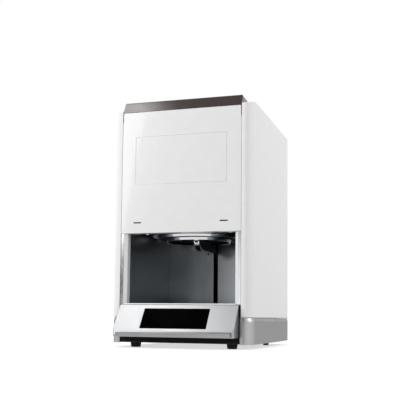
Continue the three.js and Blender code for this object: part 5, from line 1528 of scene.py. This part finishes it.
class FURNACE_OT_lift(bpy.types.Operator):
    """Model the lift arm, its carriage, the rods and the threaded screw"""

    bl_idname = "furnace.lift"
    bl_label = "Lift"
    bl_options = {"REGISTER", "UNDO"}

    hook_width: length("Hook Width", "Width of the chromed hook on the arm's tip", 15)
    hook_wall: length("Hook Wall", "Wall of the chromed hook", 7)
    hook_reach: length("Hook Reach", "How far the hook reaches back along the arm", 42)
    pad_head: length("Pad Screw", "Radius of the screw heads in the arm's clamp pad", 3.4)

    def execute(self, context):
        redressed("lift_arm", "black anodised", edge=0.5 * MM, steps=3)
        low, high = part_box("lift_arm")
        self.nose(low, high)
        pad_y, pad_z = high.y - 6 * MM, (low.z + high.z) / 2
        heads = [
            screw_head("pad_screw", self.pad_head, (across, pad_y, pad_z + up), (0, -1, 0))
            for across in (-18 * MM, 18 * MM) for up in (-11 * MM, 11 * MM)]
        placed(joined(heads, "arm_screws"), "zinc", "lift")
        redressed("lift_carriage", "black anodised", edge=0.5 * MM, steps=3)
        for node in ("bushing_left", "bushing_right", "lead_nut"):
            redressed(node, "oiled bronze", edge=0.3 * MM, angle=50)
        redressed("lift_frame", "black paint", edge=0.4 * MM)
        for node in ("guide_rod_left", "guide_rod_right"):
            radius, foot, top = disc_of(node)
            spot = middle_of(node)
            rod = cylinder(f"rod_{node}", radius, (spot.x, spot.y, foot), (spot.x, spot.y, top))
            softened(rod, width=0.6 * MM, steps=3)
            dressed(rod, "bright steel", node)
        self.screw()
        redressed("shaft_coupler", "aluminium", edge=0.4 * MM)
        redressed("lift_motor", "black plastic", edge=0.6 * MM, steps=3)
        return {"FINISHED"}

    def nose(self, low, high):
        """The chromed hook round the arm's tip, between two quarters of ovals."""
        tip, foot, crown = low.y - 0.8 * MM, low.z + 0.2 * MM, high.z - MM
        reach, drop, rows = self.hook_reach, crown - foot, 12
        turns = [math.pi / 2 * row / rows for row in range(rows + 1)]

        def quarter(along, down):
            return [
                (tip + reach - along * math.cos(turn), crown - down * math.sin(turn))
                for turn in turns]

        outer, inner = quarter(reach, drop), quarter(reach - self.hook_wall, drop - self.hook_wall)
        side = -self.hook_width / 2
        outline = [(side, y, z) for y, z in (*outer, *reversed(inner))]
        hook = prism("arm_nose", outline, (self.hook_width, 0, 0))
        softened(hook, width=2 * MM, steps=5, angle=60)
        placed(hook, "bright trim", "lift")

    def screw(self):
        """The lead screw, whose thread is a profile wound up its length."""
        _, low, high = disc_of("lead_screw")
        spot = middle_of("lead_screw")
        outer, root, journal, shaft = 5 * MM, 3.9 * MM, 4 * MM, 2.5 * MM
        shaft_top, journal_foot = low + 5 * MM, high - 3.3 * MM
        thread_low, thread_high = shaft_top + MM, high - 10 * MM
        core = turned("screw_core", [
            (0, low), (shaft, low), (shaft, shaft_top), (root, shaft_top), (root, journal_foot),
            (journal, journal_foot), (journal, high), (0, high)], (spot.x, spot.y, 0), 48)
        climb = sizes().thread_lead / 2
        sunk = root - 0.2 * MM
        profile = [(sunk, 0.2), (outer, 0.38), (outer, 0.62), (sunk, 0.8)]
        ridge = traced(
            "screw_thread", [(radius, 0, thread_low + share * climb) for radius, share in profile])
        closed()
        applied(
            ridge, "SCREW", axis="Z", steps=24, render_steps=24,
            iterations=int((thread_high - thread_low) / climb), screw_offset=climb,
            use_merge_vertices=True, use_normal_calculate=True)
        ridge.data.transform(Matrix.Translation((spot.x, spot.y, 0)))
        joined([core, ridge], "threaded_screw")
        smooth(core, 50)
        dressed(core, "bright steel", "lead_screw")


class FURNACE_OT_chamber(bpy.types.Operator):
    """Build the casing, the fibre lining, the hairpin elements and the probe"""

    bl_idname = "furnace.chamber"
    bl_label = "Hot Chamber"
    bl_options = {"REGISTER", "UNDO"}

    bore: length("Throat Radius", "Radius of the opening in the throat's lining", 76)
    chamber: length("Chamber Radius", "Radius inside the wall's lining", 62)
    casing: length("Casing Wall", "Gauge of the casing", 1.5)
    leg_circle: length("Leg Circle", "Distance of the hairpins from the chamber's axis", 49)
    legs: length("Leg Spacing", "Distance between a hairpin's legs", 28)
    wire: length("Hot Wire Radius", "Radius of a hairpin's hot part", 2)
    shank: length("Shank Radius", "Radius of a hairpin's thicker ends", 3)
    shank_ease: length("Shank Ease", "Room round a shank or the probe in the lid", 0.6)
    dip: length("Shank Dip", "How far the shanks reach below the lid", 14)

    def execute(self, context):
        centre = middle_of("chamber_casing")
        spot = (centre.x, centre.y, 0)
        rings = (
            ("chamber_casing", disc_of("chamber_casing")[0] - self.casing, "zinc"),
            ("throat_insulation", self.bore, "fibre"), ("wall_insulation", self.chamber, "fibre"))
        for node, hollow, finish in rings:
            outer, foot, top = disc_of(node)
            ring = turned(f"ring_{node}", [
                (hollow, foot), (outer, foot), (outer, top), (hollow, top), (hollow, foot)], spot)
            softened(ring, width=0.5 * MM, angle=30)
            dressed(ring, finish, node)
        for index in range(1, 5):
            self.hairpin(index)
        self.lid(spot)
        redressed("element_holder", "zirconia", edge=0.5 * MM, angle=40)
        self.probe(spot)
        return {"FINISHED"}

    def probe(self, spot):
        """The thermocouple's sheath with its collar and head."""
        _, foot, top = disc_of("thermocouple")
        sheath, collar, head = 3 * MM, 10 * MM, 7 * MM
        collar_foot, collar_top = top - 18 * MM, top - 13 * MM
        probe = turned("probe", [
            (0, foot), (sheath, foot), (sheath, collar_foot), (collar, collar_foot),
            (collar, collar_top), (head, collar_top), (head, top), (0, top)], spot, 48)
        softened(probe, width=0.5 * MM, steps=3, angle=30)
        dressed(probe, "zirconia", "thermocouple")

    def leg_places(self, node):
        """The two leg centres of one hairpin, and the direction from one to the other."""
        points = [vertex.co for vertex in frame["nodes"][node].data.vertices]
        top = max(point.z for point in points)
        ends = [point for point in points if point.z > top - NEAR]
        centre = sum(ends, Vector()) / len(ends)
        core = middle_of("chamber_casing")
        out = Vector((centre.x - core.x, centre.y - core.y, 0)).normalized()
        along = Vector((-out.y, out.x, 0))
        flat = Vector((core.x, core.y, 0)) + out * self.leg_circle
        return [flat + along * side * self.legs / 2 for side in SIDES], along

    def hairpin(self, index):
        """A ring of corners drawn down, spun round the bend and drawn up, with two shanks."""
        node = f"heating_element_{index}"
        low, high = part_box(node)
        (one, two), along = self.leg_places(node)
        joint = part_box("lid_insulation")[0].z - self.dip
        bend = low.z + self.wire + self.legs / 2
        settle()
        bpy.ops.mesh.primitive_circle_add(
            vertices=16, radius=self.wire, location=(one.x, one.y, joint), fill_type="NGON")
        wire = named(f"hairpin_{index}")
        opened(wire)
        bpy.ops.mesh.extrude_region_move(TRANSFORM_OT_translate={"value": (0, 0, bend - joint)})
        centre = (one + two) / 2
        bpy.ops.mesh.spin(
            steps=20, angle=math.pi, center=(centre.x, centre.y, bend),
            axis=AXES["z"].cross(along))
        mesh = bmesh.from_edit_mesh(wire.data)
        if min(vertex.co.z for vertex in mesh.verts) > bend - self.legs / 4:
            closed()
            raise RuntimeError("the hairpin bent upwards")
        bpy.ops.mesh.extrude_region_move(TRANSFORM_OT_translate={"value": (0, 0, joint - bend)})
        tidied()
        closed()
        shanks = []
        for leg in (one, two):
            shank = cylinder("shank", self.shank, (leg.x, leg.y, joint), (leg.x, leg.y, high.z), 32)
            shanks.append(softened(shank, width=0.4 * MM))
        joined([wire, *shanks])
        smooth(wire, 50)
        dressed(wire, "element", node)

    def lid(self, spot):
        """The lid's fibre disc, bored for the probe and the shanks."""
        radius, foot, top = disc_of("lid_insulation")
        lid = turned("lid_disc", [(0, foot), (radius, foot), (radius, top), (0, top)], spot)
        places = [Vector(spot)]
        for index in range(1, 5):
            places += self.leg_places(f"heating_element_{index}")[0]
        cut(lid, [
            cylinder(
                "bore_tool", self.shank + self.shank_ease, (place.x, place.y, foot - MM),
                (place.x, place.y, top + MM), 24)
            for place in places])
        softened(lid, width=0.4 * MM, angle=50)
        dressed(lid, "fibre", "lid_insulation")


class FURNACE_OT_electrics(bpy.types.Operator):
    """Dress the chassis, the transformer, the regulator and the control board"""

    bl_idname = "furnace.electrics"
    bl_label = "Chassis and Electrics"
    bl_options = {"REGISTER", "UNDO"}

    winding_inset: length("Winding Inset", "Height of tape above and below the turns", 18)

    def execute(self, context):
        for node, edge, finish in (
                ("chassis_side_left", 0.3, "zinc"), ("chassis_side_right", 0.3, "zinc"),
                ("power_transformer", 0.5, "tape"), ("power_regulator", 0.5, "aluminium"),
                ("control_board", 0.3, "board")):
            redressed(node, finish, edge=edge * MM)
        self.winding()
        return {"FINISHED"}

    def winding(self):
        """A band of copper turns round the ring transformer's rim."""
        reach, foot, top = disc_of("power_transformer")
        spot = middle_of("power_transformer")
        inner, outer, slope = reach * 0.9, reach * 0.985, 2 * MM
        band_low, band_high = foot + self.winding_inset, top - self.winding_inset
        band = turned("winding_band", [
            (inner, band_low), (outer, band_low + slope), (outer, band_high - slope),
            (inner, band_high)], (spot.x, spot.y, 0))
        softened(band, width=0.4 * MM)
        placed(band, "copper", "cabinet")


class FURNACE_OT_ventilation(bpy.types.Operator):
    """Model the fan's frame, its swept rotor and the wire guard behind it"""

    bl_idname = "furnace.ventilation"
    bl_label = "Ventilation"
    bl_options = {"REGISTER", "UNDO"}

    ring_count: IntProperty(
        name="Guard Rings", description="Number of rings in the wire guard", default=6, min=2)
    blade_count: IntProperty(
        name="Blades", description="Number of blades on the rotor", default=7, min=3)
    bore: length("Fan Bore", "Radius of the fan's opening", 42)
    hub: length("Hub Radius", "Radius of the rotor's hub", 16)
    wire: length("Guard Wire Radius", "Radius of the guard's wires", 1.3)
    eye_pitch: length("Screw Pitch", "Distance of the guard's screws from the middle", 39)
    eye_radius: length("Eye Radius", "Radius of the guard's screw eyes", 3.6)
    inner_ring: length("Inner Ring", "Radius of the guard's smallest ring", 8)

    def execute(self, context):
        redressed("fan_frame", "black plastic", edge=0.25 * MM, angle=50)
        self.rotor()
        self.guard()
        return {"FINISHED"}

    def rotor(self):
        """Hub and blades; one blade is modelled and turned round."""
        low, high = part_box("fan_rotor")
        centre = middle_of("fan_frame")
        spot = Vector((centre.x, 0, centre.z))
        front, back = low.y + MM, high.y - 0.4 * MM
        hub = turned("rotor_hub", [
            (0, front), (self.hub * 0.9, front), (self.hub, front + MM), (self.hub, back),
            (0, back)], spot, 64, axis="y")
        softened(hub, width=0.8 * MM, steps=3, angle=30)
        blade = self.blade(spot, (low.y + high.y) / 2)
        blades = [blade]
        for index in range(1, self.blade_count):
            turn = (
                Matrix.Translation(spot)
                @ Matrix.Rotation(2 * math.pi * index / self.blade_count, 4, "Y")
                @ Matrix.Translation(-spot))
            blades.append(copied(blade, "rotor_blade", turn))
        joined([hub, *blades], "rotor")
        smooth(hub, 40)
        dressed(hub, "black plastic", "fan_rotor")

    def blade(self, spot, plane):
        """A twisted blade from a flat plate, one row of corners turned at a time."""
        rows, half_chord, half_gauge = 8, 11 * MM, 0.8 * MM
        root, tip = self.hub - MM, self.bore - 1.6 * MM
        root_width, root_pitch, twist, sweep = 0.72, 48, 20, 12
        blade = block(
            "rotor_blade",
            (spot.x - half_chord, plane - half_gauge, spot.z + root),
            (spot.x + half_chord, plane + half_gauge, spot.z + tip))
        sliced(blade, "x", [spot.x + half_chord * share for share in (-0.6, -0.2, 0.2, 0.6)])
        places = [spot.z + root + (tip - root) * row / rows for row in range(rows + 1)]
        sliced(blade, "z", places[1:-1])
        for row, place in enumerate(places):
            share = row / rows
            pivot = (spot.x, plane, place)
            pick(blade, "VERT", lies(z=place))
            spread = root_width + (1 - root_width) * share
            bpy.ops.transform.resize(value=(spread, 1, 1), center_override=pivot)
            bpy.ops.transform.rotate(
                value=math.radians(root_pitch - twist * share), orient_axis="Z",
                center_override=pivot)
            bpy.ops.transform.rotate(
                value=math.radians(sweep * share), orient_axis="Y", center_override=spot)
            closed()
        return softened(blade, width=0.35 * MM, angle=50)

    def guard(self):
        """Concentric wire rings on four spokes with screw eyes."""
        low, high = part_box("fan_guard")
        centre = middle_of("fan_frame")
        middle_ring = Vector((centre.x, high.y - self.wire, centre.z))
        middle_spoke = Vector((centre.x, low.y + self.wire, centre.z))
        step = (self.bore - self.inner_ring) / (self.ring_count - 1)
        wires = [
            wire_ring("guard_ring", self.inner_ring + step * index, self.wire, middle_ring, 96)
            for index in range(self.ring_count)]
        for x, z in ((1, 1), (1, -1), (-1, 1), (-1, -1)):
            out = Vector((x, 0, z)).normalized()
            start = middle_spoke + out * self.inner_ring * 0.6
            corner = middle_spoke + Vector((x, 0, z)) * self.eye_pitch
            spoke = cylinder("guard_spoke", self.wire, start, corner - out * 3.4 * MM, 16)
            head_place = corner + Vector((0, self.wire * 0.6, 0))
            wires += [
                smooth(spoke, 60),
                wire_ring("guard_eye", self.eye_radius, self.wire * 0.9, corner, 32),
                screw_head("guard_screw", 4.1 * MM, head_place, (0, 1, 0))]
        joined(wires, "wire_guard")
        dressed(wires[0], "bright steel", "fan_guard")


def wire_ring(name, radius, wire, centre, steps, sides=12):
    """A ring of round wire that faces the back."""
    settle()
    bpy.ops.mesh.primitive_torus_add(
        major_radius=radius, minor_radius=wire, major_segments=steps, minor_segments=sides,
        location=centre, rotation=(math.pi / 2, 0, 0))
    return smooth(named(name), 60)


class FURNACE_OT_mains(bpy.types.Operator):
    """Model the mains inlet and the rocker switch on the back"""

    bl_idname = "furnace.mains"
    bl_label = "Mains Inlet and Switch"
    bl_options = {"REGISTER", "UNDO"}

    ear_pitch: length("Ear Pitch", "Distance of the inlet's screws from its middle", 20)
    ear_head: length("Ear Screw", "Radius of the inlet's screw heads", 2.8)

    def execute(self, context):
        redressed("mains_inlet", "black plastic", edge=0.4 * MM, steps=3, angle=40)
        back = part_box("mains_inlet")[1].y
        centre = middle_of("mains_inlet")
        ears = [
            screw_head(
                "ear_screw", self.ear_head, (centre.x + side * self.ear_pitch, back, centre.z),
                (0, 1, 0))
            for side in SIDES]
        placed(joined(ears, "inlet_screws"), "zinc", "cabinet")
        redressed("switch_bezel", "black plastic", edge=0.4 * MM, steps=3, angle=40)
        self.rocker()
        return {"FINISHED"}

    def rocker(self):
        """The rocker with a white bar at one end and a ring at the other."""
        rocker = refined("power_rocker", width=0.6 * MM, steps=3, angle=30)
        faces = sorted(
            rocker.data.polygons, key=lambda face: face.area * max(face.normal.y, 0))[-2:]
        bar = Vector((0.28 * MM, 0, 1.7 * MM))
        sunk, proud = Vector((0, -0.2 * MM, 0)), Vector((0, 0.05 * MM, 0))
        marks = []
        for face in faces:
            turn = face.normal.to_track_quat("Y", "Z").to_matrix().to_4x4()
            if face.center.z > middle_of("power_rocker").z:
                mark = smooth(block("mark_bar", sunk - bar, proud + bar), 50)
            else:
                mark = wire_ring(
                    "mark_ring", 1.5 * MM, 0.24 * MM, (0, -0.15 * MM, 0), 32, 8)
            mark.data.transform(Matrix.Translation(face.center) @ turn)
            marks.append(mark)
        dressed(rocker, "black plastic", "power_rocker")
        placed(joined(marks, "rocker_marks"), "white cover", "rocker")


class FURNACE_OT_fasteners(bpy.types.Operator):
    """Set the cover screws: one modelled head, copied round the rear cover"""

    bl_idname = "furnace.fasteners"
    bl_label = "Cover Screws"
    bl_options = {"REGISTER", "UNDO"}

    inset: length("Inset", "Distance of the screws from the rear cover's edges", 8)
    row_reach: length("Row Reach", "Distance of the end rows' screws from the middle", 70)

    def execute(self, context):
        low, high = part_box("rear_cover")
        foot, half, top = low.z + self.inset, (low.z + high.z) / 2, high.z - self.inset
        rows = (foot, (low.z + half) / 2, half, (high.z + half) / 2, top)
        edge = high.x - self.inset
        places = [(side * edge, z) for side in SIDES for z in rows]
        places += [(side * self.row_reach, z) for z in (foot, top) for side in SIDES]
        heads = [
            screw_head("cover_screw", sizes().screw_head, (x, high.y, z), (0, 1, 0))
            for x, z in places]
        placed(joined(heads, "rear_screws"), "zinc", "cabinet")
        put_away_heads()
        return {"FINISHED"}


def background_rays(tree):
    """1 on the rays that show the white background: camera, glossy and transmission."""
    path = add_node(tree, "ShaderNodeLightPath").outputs
    seen = maths(tree, "ADD", path["Is Camera Ray"], path["Is Glossy Ray"])
    return maths(tree, "ADD", seen, path["Is Transmission Ray"])


class FURNACE_OT_stage(bpy.types.Operator):
    """Set the camera, the pale floor, the even sky and the soft lamps"""

    bl_idname = "furnace.stage"
    bl_label = "Stage"
    bl_options = {"REGISTER", "UNDO"}

    def execute(self, context):
        self.camera(context)
        self.floor()
        self.card()
        self.world(context)
        self.lamps(context)
        context.scene.view_settings.view_transform = "Standard"
        return {"FINISHED"}

    def camera(self, context):
        """The camera where the photographer's stood."""
        stage = context.scene.furnace_stage
        settle()
        bpy.ops.object.camera_add(location=stage.camera_place)
        camera = context.object
        camera.name = "camera"
        heading, pitch, roll = stage.camera_heading, stage.camera_pitch, stage.camera_roll
        level = math.cos(pitch)
        ahead = Vector((-math.sin(heading) * level, math.cos(heading) * level, math.sin(pitch)))
        across = ahead.cross(AXES["z"]).normalized()
        up = across.cross(ahead)
        right = across * math.cos(roll) + up * math.sin(roll)
        above = up * math.cos(roll) - across * math.sin(roll)
        camera.rotation_euler = Matrix((right, above, -ahead)).transposed().to_euler()
        camera.data.lens = stage.camera_lens
        camera.data.sensor_width = 36
        camera.data.shift_x = stage.shift_across
        camera.data.shift_y = stage.shift_up
        camera.data.clip_start = 0.05
        camera.data.clip_end = 50
        context.scene.camera = camera

    def floor(self):
        """A pale floor that the camera sees as white, apart from the shade on it."""
        settle()
        bpy.ops.mesh.primitive_plane_add(size=12, location=(0, 0, 0))
        floor = named("floor")
        material = bpy.data.materials.new("Studio floor")
        material.use_nodes = True
        tree = material.node_tree
        tree.nodes.remove(tree.nodes["Principled BSDF"])
        diffuse = add_node(tree, "ShaderNodeBsdfDiffuse", {"Color": FLOOR_GREY})
        glow = add_node(tree, "ShaderNodeEmission", {"Color": WHITE})
        lift = maths(tree, "MULTIPLY", background_rays(tree), 0.64)
        tree.links.new(lift, glow.inputs["Strength"])
        both = tree.nodes.new("ShaderNodeAddShader")
        tree.links.new(diffuse.outputs[0], both.inputs[0])
        tree.links.new(glow.outputs[0], both.inputs[1])
        tree.links.new(both.outputs[0], tree.nodes["Material Output"].inputs["Surface"])
        floor.data.materials.append(material)

    def card(self):
        """A dark card behind the camera, which polished surfaces mirror."""
        settle()
        bpy.ops.mesh.primitive_plane_add(
            size=1, location=(0.2, -2.7, 1.2), rotation=(math.pi / 2, 0, 0))
        bpy.context.object.scale = (4.4, 2.4, 1)
        card = named("dark_card")
        material, _, _ = started("Dark card", Base_Color=CARD_GREY, Roughness=1.0)
        card.data.materials.append(material)
        card.visible_camera = False
        card.visible_diffuse = False
        card.visible_shadow = False

    def world(self, context):
        """White behind the furnace and an even sky for the light itself."""
        level = context.scene.furnace_stage.sky_level
        world = bpy.data.worlds.new("Studio")
        world.use_nodes = True
        context.scene.world = world
        tree = world.node_tree
        seen = background_rays(tree)
        shown = add_node(tree, "ShaderNodeBackground", {"Color": WHITE, "Strength": 1.0})
        light = add_node(tree, "ShaderNodeBackground", {"Color": WHITE, "Strength": level})
        mix = tree.nodes.new("ShaderNodeMixShader")
        tree.links.new(seen, mix.inputs[0])
        tree.links.new(light.outputs[0], mix.inputs[1])
        tree.links.new(shown.outputs[0], mix.inputs[2])
        tree.links.new(mix.outputs[0], tree.nodes["World Output"].inputs["Surface"])

    def lamps(self, context):
        """Soft lamps at the front left, the right, overhead and low in front."""
        stage = context.scene.furnace_stage
        aim = Vector((0, 0, 0.3))
        # Name, place, watts, width, height and roll in degrees
        lamps = (
            ("key_lamp", (-1.58, -1.97, 1.20), stage.key_power, 1.5, 1.35, -6),
            ("side_lamp", (2.1, 0.7, 1.1), stage.side_power, 1.4, 1.4, 0),
            ("top_lamp", (-1.25, -0.95, 2.35), stage.top_power, 1.0, 0.9, 0),
            ("cap_lamp", (-0.90, -0.86, 2.35), stage.cap_power, 0.27, 0.2, 0),
            ("fill_lamp", (-0.21, -2.4, 0.28), stage.fill_power, 0.82, 0.5, 0))
        for name, place, watts, width, height, roll in lamps:
            settle()
            facing = (aim - Vector(place)).to_track_quat("-Z", "Y").to_matrix()
            turn = facing @ Matrix.Rotation(math.radians(roll), 3, "Z")
            bpy.ops.object.light_add(type="AREA", location=place, rotation=turn.to_euler())
            lamp = context.object
            lamp.name = name
            lamp.data.shape = "RECTANGLE"
            lamp.data.size = width
            lamp.data.size_y = height
            lamp.data.energy = watts


PIECES = (
    FURNACE_OT_side_covers, FURNACE_OT_fascia, FURNACE_OT_top_cap, FURNACE_OT_roof,
    FURNACE_OT_rear_cover, FURNACE_OT_base, FURNACE_OT_console, FURNACE_OT_bay,
    FURNACE_OT_throat, FURNACE_OT_lift, FURNACE_OT_chamber, FURNACE_OT_electrics,
    FURNACE_OT_ventilation, FURNACE_OT_mains, FURNACE_OT_fasteners, FURNACE_OT_stage,
)


class FURNACE_PT_panel(bpy.types.Panel):
    """The sidebar panel with the furnace's settings and pieces."""

    bl_idname = "FURNACE_PT_panel"
    bl_label = "Sintering Furnace"
    bl_space_type = "VIEW_3D"
    bl_region_type = "UI"
    bl_category = "Furnace"

    def draw(self, context):
        scene = context.scene
        for title, group in (
                ("Sizes", scene.furnace_sizes), ("Colours", scene.furnace_colours),
                ("Stage", scene.furnace_stage)):
            box = self.layout.box()
            box.label(text=title)
            for key in group.__annotations__:
                box.prop(group, key)
        column = self.layout.column()
        for piece in PIECES:
            column.operator(piece.bl_idname)


CLASSES = (FurnaceSizes, FurnaceColours, FurnaceStage, *PIECES, FURNACE_PT_panel)


def register():
    """Register the classes and hang the settings on the scene."""
    for one in CLASSES:
        bpy.utils.register_class(one)
    bpy.types.Scene.furnace_sizes = PointerProperty(type=FurnaceSizes)
    bpy.types.Scene.furnace_colours = PointerProperty(type=FurnaceColours)
    bpy.types.Scene.furnace_stage = PointerProperty(type=FurnaceStage)


def unregister():
    """Take the settings and the classes away."""
    del bpy.types.Scene.furnace_stage
    del bpy.types.Scene.furnace_colours
    del bpy.types.Scene.furnace_sizes
    for one in reversed(CLASSES):
        bpy.utils.unregister_class(one)


def main():
    """Build every piece in order."""
    register()
    for piece in PIECES:
        group, name = piece.bl_idname.split(".")
        getattr(getattr(bpy.ops, group), name)()
    settle()


if __name__ == "__main__":
    main()
